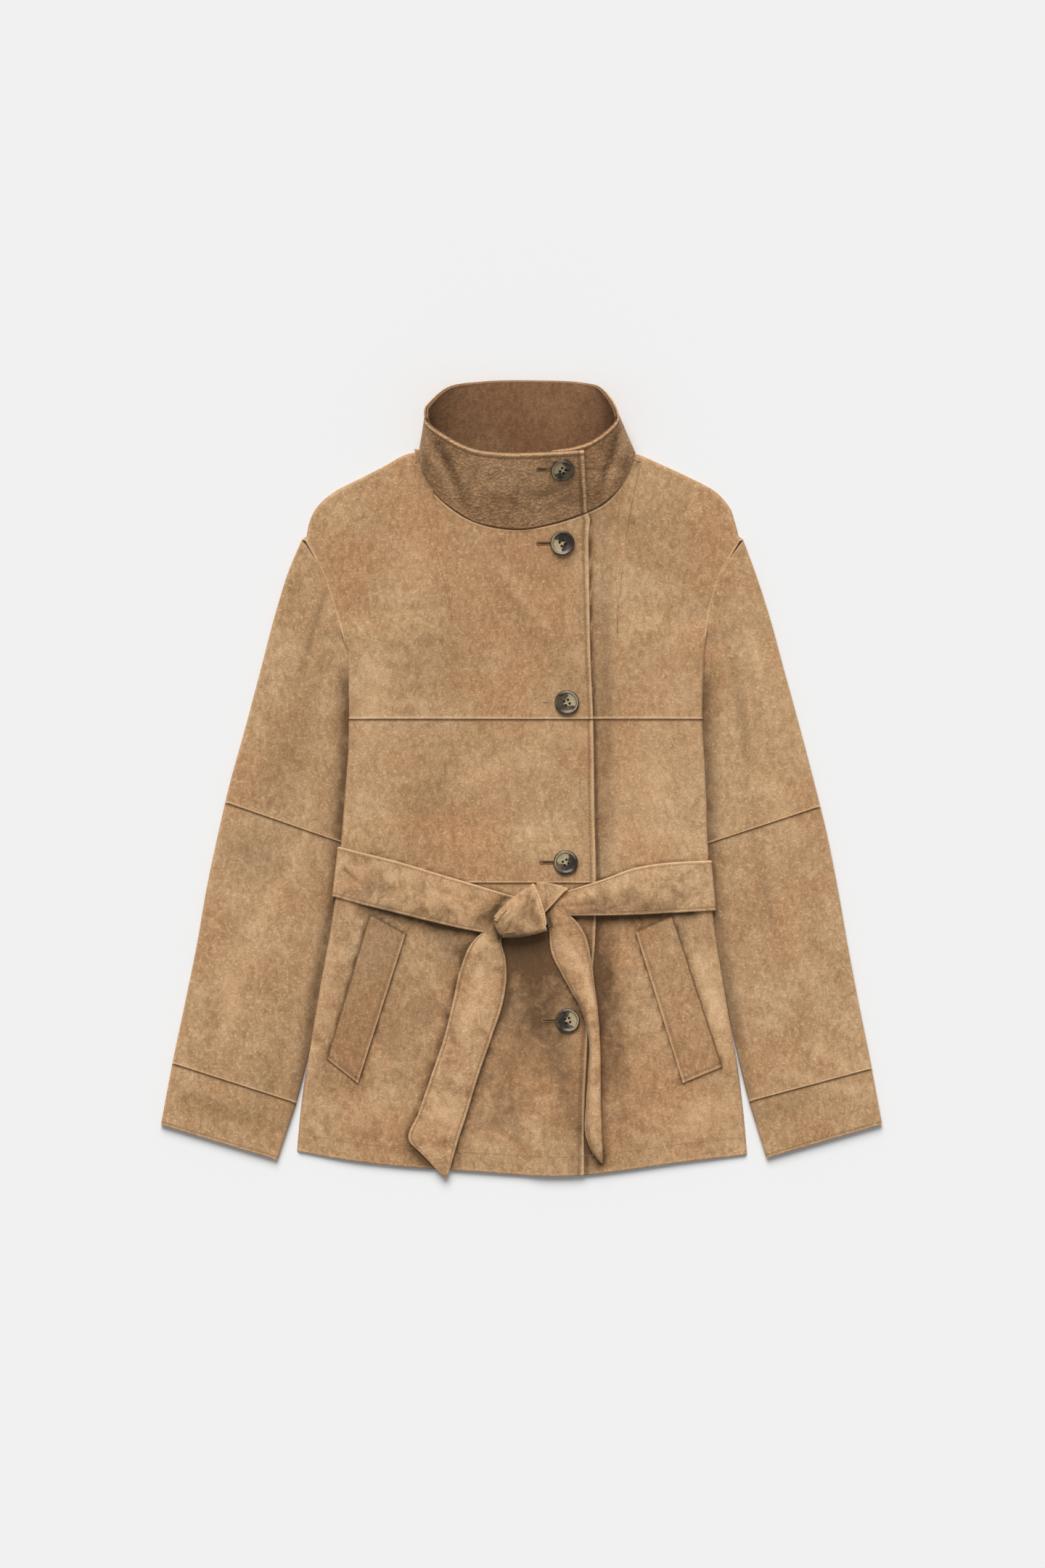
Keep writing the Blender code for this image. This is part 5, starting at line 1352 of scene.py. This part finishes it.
# Places of the knot painted lighter or darker: a painted highlight along the right edge of the wrap, painted
# shade in its creases and below it
KNOT_MARKS = [
    (3, -158, 26, 4, 8, -0.7), (-25, -150, 12, 3, 110, -0.6), (13, -122, 22, 3, 78, -0.5),
    (2, -143, 16, 3, 75, -0.45), (34, -116, 14, 4, 45, 0.3), (22, -130, 12, 4, 50, -0.4),
    (20, -134, 26, 2.6, 106, 0.8), (-8, -152, 18, 6, 10, -0.4), (-12, -136, 14, 6, 40, 0.25),
    (30, -126, 10, 6, 50, 0.2),
]


def wrap_face(x, y):
    middle = np.mean(KNOT_WRAP, axis=0)
    away = ((x - middle[0]) / 26) ** 2 + ((y - middle[1]) / 24) ** 2
    return KNOT_BASE + KNOT_HEIGHT - 3 + KNOT_CROWN * np.exp(-away) + folds(KNOT_CREASES, x, y)


def pass_face(x, y):
    return KNOT_BASE + PASS_HEIGHT - 3.4 * slope(x, 16, 48)


def bowed(start, end, swell):
    """A curve between two points that bulges to its left by some mm."""
    start, end = straight(start, end)
    across = unit(np.array([start[1] - end[1], end[0] - start[0]]))
    t = np.linspace(0, 1, 40)[:, None]
    return blend(start, end, t) + across * swell * 4 * t * (1 - t)


def knot_piece(name, node, corners, swells, face, seams, rolls, strip):
    low_left, low_right, high_right, high_left = corners
    ends = ((low_left, high_left), (low_right, high_right), (low_left, low_right), (high_left, high_right))
    curves = [bowed(*pair, swell) for pair, swell in zip(ends, swells)]
    dress(panel(name, curves, face, seams, 0.5, rolls, step=1.5, wall=BELT_SKIN, strip=strip,
                marks=folding(KNOT_MARKS)), node, material=HANDLED)


def wrap_turn(points):
    return np.linspace(0.75, 1, len(points)) * KNOT_TURN


knot_piece("knot_wrap", "belt_knot", KNOT_WRAP, (2, -3, -2.5, 3), wrap_face,
           ("tucked", "ridge", "none", "none"), {"top": wrap_turn, "bottom": wrap_turn},
           KNOT_RADIUS * KNOT_TURN)
knot_piece("knot_pass", "belt_pass", KNOT_PASS, (0, 0, -1, 1.5), pass_face,
           ("plain", "ridge", "tucked", "none"), {"top": lambda points: np.full(len(points), PASS_TURN)},
           PASS_RADIUS * PASS_TURN)
print("belt pieces:", [name for name in parts if name.startswith("belt")])

# %% [markdown]
# ## Buttons
# The buttons are turned from horn: a raised rim round a shallow dish, with four sewing holes. Horn is
# cloudy, from near black to honey, and each button was polished to a soft shine. Its colour has a painted
# highlight across the dish and on one side of the rim, and painted shade round the holes.

# %% Buttons
BUTTON_LAY = 0.6
HOLE_RADIUS = 1.1
HOLE_SPREAD = 2.1
# Turned face of a button: radius, height above its back
BUTTON_PROFILE = [
    (0, 2.55), (4, 2.5), (7.6, 2.55), (8.8, 2.75), (9.7, 3.3), (10.3, 3.6), (11.2, 3.65), (11.9, 3.35),
    (12.4, 2.7), (12.5, 2.2), (12.2, 1.4), (11.2, 0.6), (9, 0.1), (0, 0),
]
# Centres of the buttons, from the collar down, and how each was turned when sewn on: x, y, degrees
BUTTONS = [(41.9, 313.4, 150), (41.7, 239.6, 210), (46.3, 77.7, 25), (45, -85, 120), (47, -245.9, 15)]
TURNED_SIDES = 72


def turned(profile, sides):
    """Turns a profile about z. A first or last radius of 0 closes that end."""
    shape = bmesh.new()
    rings = []
    for radius, height in profile:
        turns = 2 * math.pi * np.arange(sides if radius else 1) / sides
        rings.append([shape.verts.new((MM * radius * math.cos(t), MM * radius * math.sin(t), MM * height))
                      for t in turns])
    for upper, lower in zip(rings, rings[1:]):
        for k in range(sides):
            above, below = ([ring[k % len(ring)], ring[(k + 1) % len(ring)]] for ring in (upper, lower))
            loop = [above[0], below[0], below[1], above[1]]
            shape.faces.new(tuple(dict.fromkeys(loop)))
    bmesh.ops.recalc_face_normals(shape, faces=shape.faces)
    return shape


def drilled_button():
    """The button's mesh, with its sewing holes cut through."""
    holes = bmesh.new()
    for dx in (-1, 1):
        for dy in (-1, 1):
            made = bmesh.ops.create_cone(holes, cap_ends=True, segments=16, depth=MM * 12,
                                         radius1=MM * HOLE_RADIUS, radius2=MM * HOLE_RADIUS)
            bmesh.ops.translate(holes, verts=made["verts"],
                                vec=(MM * dx * HOLE_SPREAD, MM * dy * HOLE_SPREAD, 0))
    solids = []
    for name, shape in (("blank", turned(BUTTON_PROFILE, TURNED_SIDES)), ("drill", holes)):
        mesh = bpy.data.meshes.new(name)
        shape.to_mesh(mesh)
        shape.free()
        solids.append(placed(name, mesh))
    cut = solids[0].modifiers.new("holes", "BOOLEAN")
    cut.object = solids[1]
    cut.solver = "EXACT"
    bpy.context.view_layer.update()
    done = bpy.data.meshes.new_from_object(solids[0].evaluated_get(bpy.context.evaluated_depsgraph_get()))
    for solid in solids:
        bpy.data.objects.remove(solid)
    done.shade_smooth()
    done.set_sharp_from_angle(angle=math.radians(38))
    return done


def horn():
    shade = Shade("horn")
    place = shade.node("ShaderNodeTexCoord", output="Object")
    info = shade.node("ShaderNodeObjectInfo", output="Location")
    seed = shade.node("ShaderNodeVectorMath", {"operation": "MULTIPLY"}, {0: info, 1: (7, 7, 7)})
    clouded = shade.node("ShaderNodeVectorMath", {"operation": "ADD"}, {0: place, 1: seed})
    x, y = (shade.node("ShaderNodeSeparateXYZ", None, {0: place}, output=k) for k in (0, 1))
    out = shade.node("ShaderNodeVectorMath", {"operation": "LENGTH"}, {0: place}, output=1)
    clouds = shade.noise(clouded, 90, 3, 0.55, 0.8)
    veins = shade.noise(clouded, 300, 3, 0.6, 1.5).between(0.4, 0.62)
    # Painted highlight: a pale wedge across the dish and a pale arc on the lit side of the rim, in honey
    # colours
    painted_highlight_wedge = (x * 0.8 + 0.0034 - abs(y) + (clouds - 0.5) * 0.010).between(0, 0.0016)
    painted_highlight_wedge = painted_highlight_wedge * (1 - out.between(0.0094, 0.0100))
    painted_rim_highlight = out.between(0.0102, 0.0107) * (1 - out.between(0.0116, 0.0120)) * (x * 120 + 0.4).clamp()
    dull = shade.mix(clouds.between(0.42, 0.66) * 0.8, (0.020, 0.013, 0.008, 1), (0.16, 0.11, 0.055, 1))
    light = shade.mix(veins * 0.55, (0.50, 0.40, 0.24, 1), (0.27, 0.205, 0.11, 1))
    colour = shade.mix((painted_highlight_wedge * 0.9 + painted_rim_highlight * 0.8).clamp(), dull, light)
    # Painted shade round the sewing holes
    beside, above = abs(x) - HOLE_SPREAD * MM, abs(y) - HOLE_SPREAD * MM
    painted_hole_shade = 1 - (beside * beside + above * above).between(1.3e-6, 2.3e-6)
    colour = shade.mix(painted_hole_shade, colour, (0.006, 0.004, 0.003, 1))
    return shade.finish(Base_Color=colour, Roughness=0.36, Coat_Weight=0.12, Coat_Roughness=0.1)


# The share of the collar, from the end of its flap, that lies in front
COLLAR_FLAP = 0.3


def collar_seat(x, y):
    """Where the top button sits on the collar, and the way it faces."""
    collar = parts["collar"]
    away = np.linalg.norm(collar.outer[:, :, :2] - np.array((x, y)), axis=2)
    away = away + 1000 * (collar.up > COLLAR_FLAP)[:, None]
    row, column = np.unravel_index(np.argmin(away), away.shape)
    facing = collar.normal[row, column]
    return collar.outer[row, column], facing * (1 if facing[2] > 0 else -1)


button_mesh = drilled_button()
button_mesh.materials.clear()
button_mesh.materials.append(horn())
for number, (x, y, degrees) in enumerate(BUTTONS, start=1):
    seat, facing = np.array([x, y, float(lap_top(x, y))]), np.array([0.0, 0.0, 1.0])
    if number == 1:
        seat, facing = collar_seat(x, y)
    piece = placed(f"horn_button_{number}", button_mesh)
    piece.rotation_mode = "QUATERNION"
    upwards = Vector((0, 0, 1))
    piece.rotation_quaternion = (upwards.rotation_difference(Vector(facing))
                                 @ Quaternion(upwards, math.radians(degrees)))
    piece.location = [MM * c for c in seat + facing * BUTTON_LAY]
    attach(piece, "root")
    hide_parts(f"button_{number}")
print("triangles in a button:", sum(len(p.vertices) - 2 for p in button_mesh.polygons))

# %% [markdown]
# ## Sewing
# The seams are topstitched with a waxed thread in stitches of 3 mm. Each stitch is a small bead of thread
# that dips into the suede at its ends. The rows follow the grids of the pieces they are sewn through.

# %% Sewing
STITCH = 3.0
THREAD_RADIUS = 0.34
# A stitch: share along it, radius as a share, and height above the suede in thread radii
BEAD = np.array([(-0.5, 0.3, -0.5), (-0.38, 0.85, 0), (0, 1, 0.35), (0.38, 0.85, 0), (0.5, 0.3, -0.5)])
BEAD_SIDES = 6
BOTH_EDGES = [("left", 2.8, 0, 1), ("right", 2.8, 0, 1)]
WELT_ROWS = [("right", 4.2, 0.03, 0.97), ("bottom", 4.2, 0.12, 0.88), ("left", 4.2, 0.03, 0.97)]
# Rows of each node: edge of its grid, distance inside it in mm, first and last share
STITCHED = {
    "front_right_yoke": [("right", 5.2, 0, 0.97)],
    "front_right_middle": [("right", 5.2, 0, 1), ("bottom", 2.6, 0.55, 1)],
    "front_right_skirt": [("right", 5.2, 0, 1), ("bottom", 19, 0, 1)],
    "front_left_skirt": [("bottom", 19, 0, 1)],
    **{f"sleeve_{side}_{part}": [("top", 2.6, 0.02, 0.98)] for part in ("upper", "lower") for side in SIDES},
    **{f"cuff_{side}": [("top", 2.8, 0.02, 0.98)] for side in SIDES},
    "collar": [("right", 5.2, 0, 1), ("bottom", 5.2, 0.03, 0.94)],
    "pocket_welt_right": WELT_ROWS, "pocket_welt_left": WELT_ROWS[::-1],
    "belt_band": BOTH_EDGES, "belt_tail_right": BOTH_EDGES, "belt_tail_left": BOTH_EDGES,
    "belt_knot": [("right", 2.6, 0.05, 0.95)],
}


def bead_rows(points, normals, pitch, long):
    """Centres, directions and normals of the stitches along a run."""
    run = run_of(points)
    at = np.arange(pitch / 2, run[-1] - pitch / 4, pitch)
    ahead = unit(read_off(run, points, at + 0.5) - read_off(run, points, at - 0.5))
    up = unit(read_off(run, normals, at))
    return read_off(run, points, at), ahead * long, np.cross(up, ahead), up


def thread_mesh(name, rows, radius):
    """One mesh of all the stitches in some rows."""
    turn = 2 * math.pi * np.arange(BEAD_SIDES) / BEAD_SIDES
    sideways = BEAD[:, 1:2] * radius * np.cos(turn)
    lifted = BEAD[:, 1:2] * radius * np.sin(turn) + BEAD[:, 2:3] * radius
    shares = np.broadcast_to(BEAD[:, :1], sideways.shape)
    points = []
    for place, *ways in rows:
        grid = place[:, None, None] + sum(way[:, None, None] * amount[None, :, :, None]
                                          for way, amount in zip(ways, (shares, sideways, lifted)))
        points.append(grid.reshape(-1, 3))
    points = np.concatenate(points)
    points[:, 2] = np.maximum(points[:, 2], 0)
    each = len(BEAD) * BEAD_SIDES
    ring = np.arange(BEAD_SIDES)
    following = np.roll(ring, -1)
    band = np.stack([ring, following, BEAD_SIDES + following, BEAD_SIDES + ring], axis=1)
    faces = np.concatenate([band + k * BEAD_SIDES for k in range(len(BEAD) - 1)])
    ends = np.stack([ring[::-1], each - BEAD_SIDES + ring])
    count = len(points) // each
    polygons = []
    for k in range(count):
        polygons += (faces + k * each).tolist() + (ends + k * each).tolist()
    mesh = mesh_of(name, (points * MM).tolist(), polygons)
    mesh.shade_smooth()
    return placed(name, mesh), count


def thread(name, colour, deep):
    shade = Shade(name)
    twist = shade.noise(shade.place(turn=0.6), 1500, 2, 0.6).between(0.3, 0.7)
    return shade.finish(Base_Color=shade.mix(twist, deep, colour), Roughness=0.65, Specular_IOR_Level=0.3,
                        Normal=shade.relief(twist, 0.4, 0.0002))


THREAD = thread("thread", (0.52, 0.33, 0.18, 1), (0.33, 0.19, 0.09, 1))
sewn_with = {node: [] for node in parts}


def sewn(name, node, rows, material=THREAD, radius=THREAD_RADIUS):
    piece, count = thread_mesh(name, rows, radius)
    piece.data.materials.append(material)
    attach(piece, "root")
    sewn_with[node].append(piece)
    return count


total = 0
for node, lines in STITCHED.items():
    rows = [bead_rows(*parts[node].line(*line), STITCH, STITCH * 0.8) for line in lines]
    total += sewn(f"sewing_{node}", node, rows)
print("stitches:", total)

# %% [markdown]
# ## Buttonholes
# Each buttonhole is a slit bound by close stitches across its edge, with an eye of stitches at its far end.
# The button hides the other end.

# %% Buttonholes
# How far from the button's centre a slit begins and ends
HOLE_FAR, HOLE_NEAR = 25.0, 11.0
# Lengths of a stitch across a lip and at the eye, and how far their middles lie from the slit and the eye
LIP_STITCH, EYE_STITCH, LIP_AWAY, EYE_AWAY = 1.9, 2.0, 1.25, 1.7
HOLE_NODES = ["collar", "front_right_yoke", "front_right_middle", "front_right_middle", "front_right_skirt"]
DEEP_THREAD = thread("thread_deep", (0.30, 0.17, 0.08, 1), (0.16, 0.085, 0.04, 1))
# A near-black bead along each slit, painted shade for its opening
SLIT_SHADE = thread("slit", (0.035, 0.018, 0.009, 1), (0.02, 0.01, 0.005, 1))
BINDING_RADIUS, SLIT_RADIUS = 0.42, 0.5


def on_face(node, spots):
    """Points on a piece's upper face below some places, and the normals there."""
    made = parts[node]
    up = made.normal[:, :, 2] > 0.2
    if node == "collar":
        up &= (made.up < COLLAR_FLAP)[:, None]
    grid, normals = made.outer[up], made.normal[up]
    away = np.linalg.norm(grid[None, :, :2] - spots[:, None], axis=2)
    nearest = np.argsort(away, axis=1)[:, :4]
    weight = 1 / (np.take_along_axis(away, nearest, axis=1) + 0.2)
    weight = (weight / weight.sum(axis=1, keepdims=True))[:, :, None]
    z = (grid[nearest, 2:] * weight).sum(axis=1)
    return np.concatenate([spots, z], axis=1), (normals[nearest] * weight).sum(axis=1)


def lashes(node, spots, ways, long):
    """Stitches centred on some places, each lying along its own way."""
    place, up = on_face(node, spots)
    ways = np.column_stack([ways, np.zeros(len(ways))])
    return place, ways * long, np.cross(up, ways), up


def binding(node, x, y):
    """Stitches across both lips of a slit and round its eye."""
    along = np.arange(x - HOLE_FAR + 2.4, x - HOLE_NEAR, 0.8)
    turn = np.linspace(math.radians(40), math.radians(320), 15)
    ray = np.stack([np.cos(turn), np.sin(turn)], axis=1)
    rows = [lashes(node, np.column_stack([along, np.full(len(along), y + lip * LIP_AWAY)]),
                   np.tile([0, lip], (len(along), 1)), LIP_STITCH) for lip in (-1, 1)]
    eye = np.array([x - HOLE_FAR + 0.6, y])
    return rows + [lashes(node, eye + ray * EYE_AWAY, ray, EYE_STITCH)]


for number, ((x, y, _), node) in enumerate(zip(BUTTONS, HOLE_NODES), start=1):
    count = sewn(f"buttonhole_{number}", node, binding(node, x, y), DEEP_THREAD, BINDING_RADIUS)
    spots = np.stack([np.linspace(x - HOLE_FAR, x - HOLE_NEAR, 30), np.full(30, y)], axis=1)
    slit = bead_rows(*on_face(node, spots), HOLE_FAR - HOLE_NEAR, HOLE_FAR - HOLE_NEAR)
    sewn(f"slit_{number}", node, [slit], SLIT_SHADE, SLIT_RADIUS)
print("stitches round the last buttonhole:", count)

# %% [markdown]
# ## Sheets of suede
# Each piece of suede was cut flat. Its cut is measured from its own grid, along and across.


def cut_size(grid, lies_flat):
    """Width, length and area in metres: across the floor for a flat piece, else the longest runs."""
    across, along = (np.linalg.norm(np.diff(grid, axis=k), axis=2).sum(axis=k).max() for k in (1, 0))
    if lies_flat:
        across, along = np.ptp(grid[:, :, 0]), np.ptp(grid[:, :, 1])
    twice = np.cross(grid[1:, 1:] - grid[:-1, :-1], grid[1:, :-1] - grid[:-1, 1:])
    area = np.linalg.norm(twice, axis=2).sum() / 2
    return float(across * MM), float(along * MM), float(area * MM * MM)


for node, made in parts.items():
    width, length, area = cut_size(getattr(made, "whole", made.outer), node.startswith(("front", "back")))
    print(f"{node}: {width * 1000:.0f} x {length * 1000:.0f} mm, {area * 1e4:.0f} cm2")

# %% [markdown]
# ## Finish
# The visual model keeps to the box of the frame.
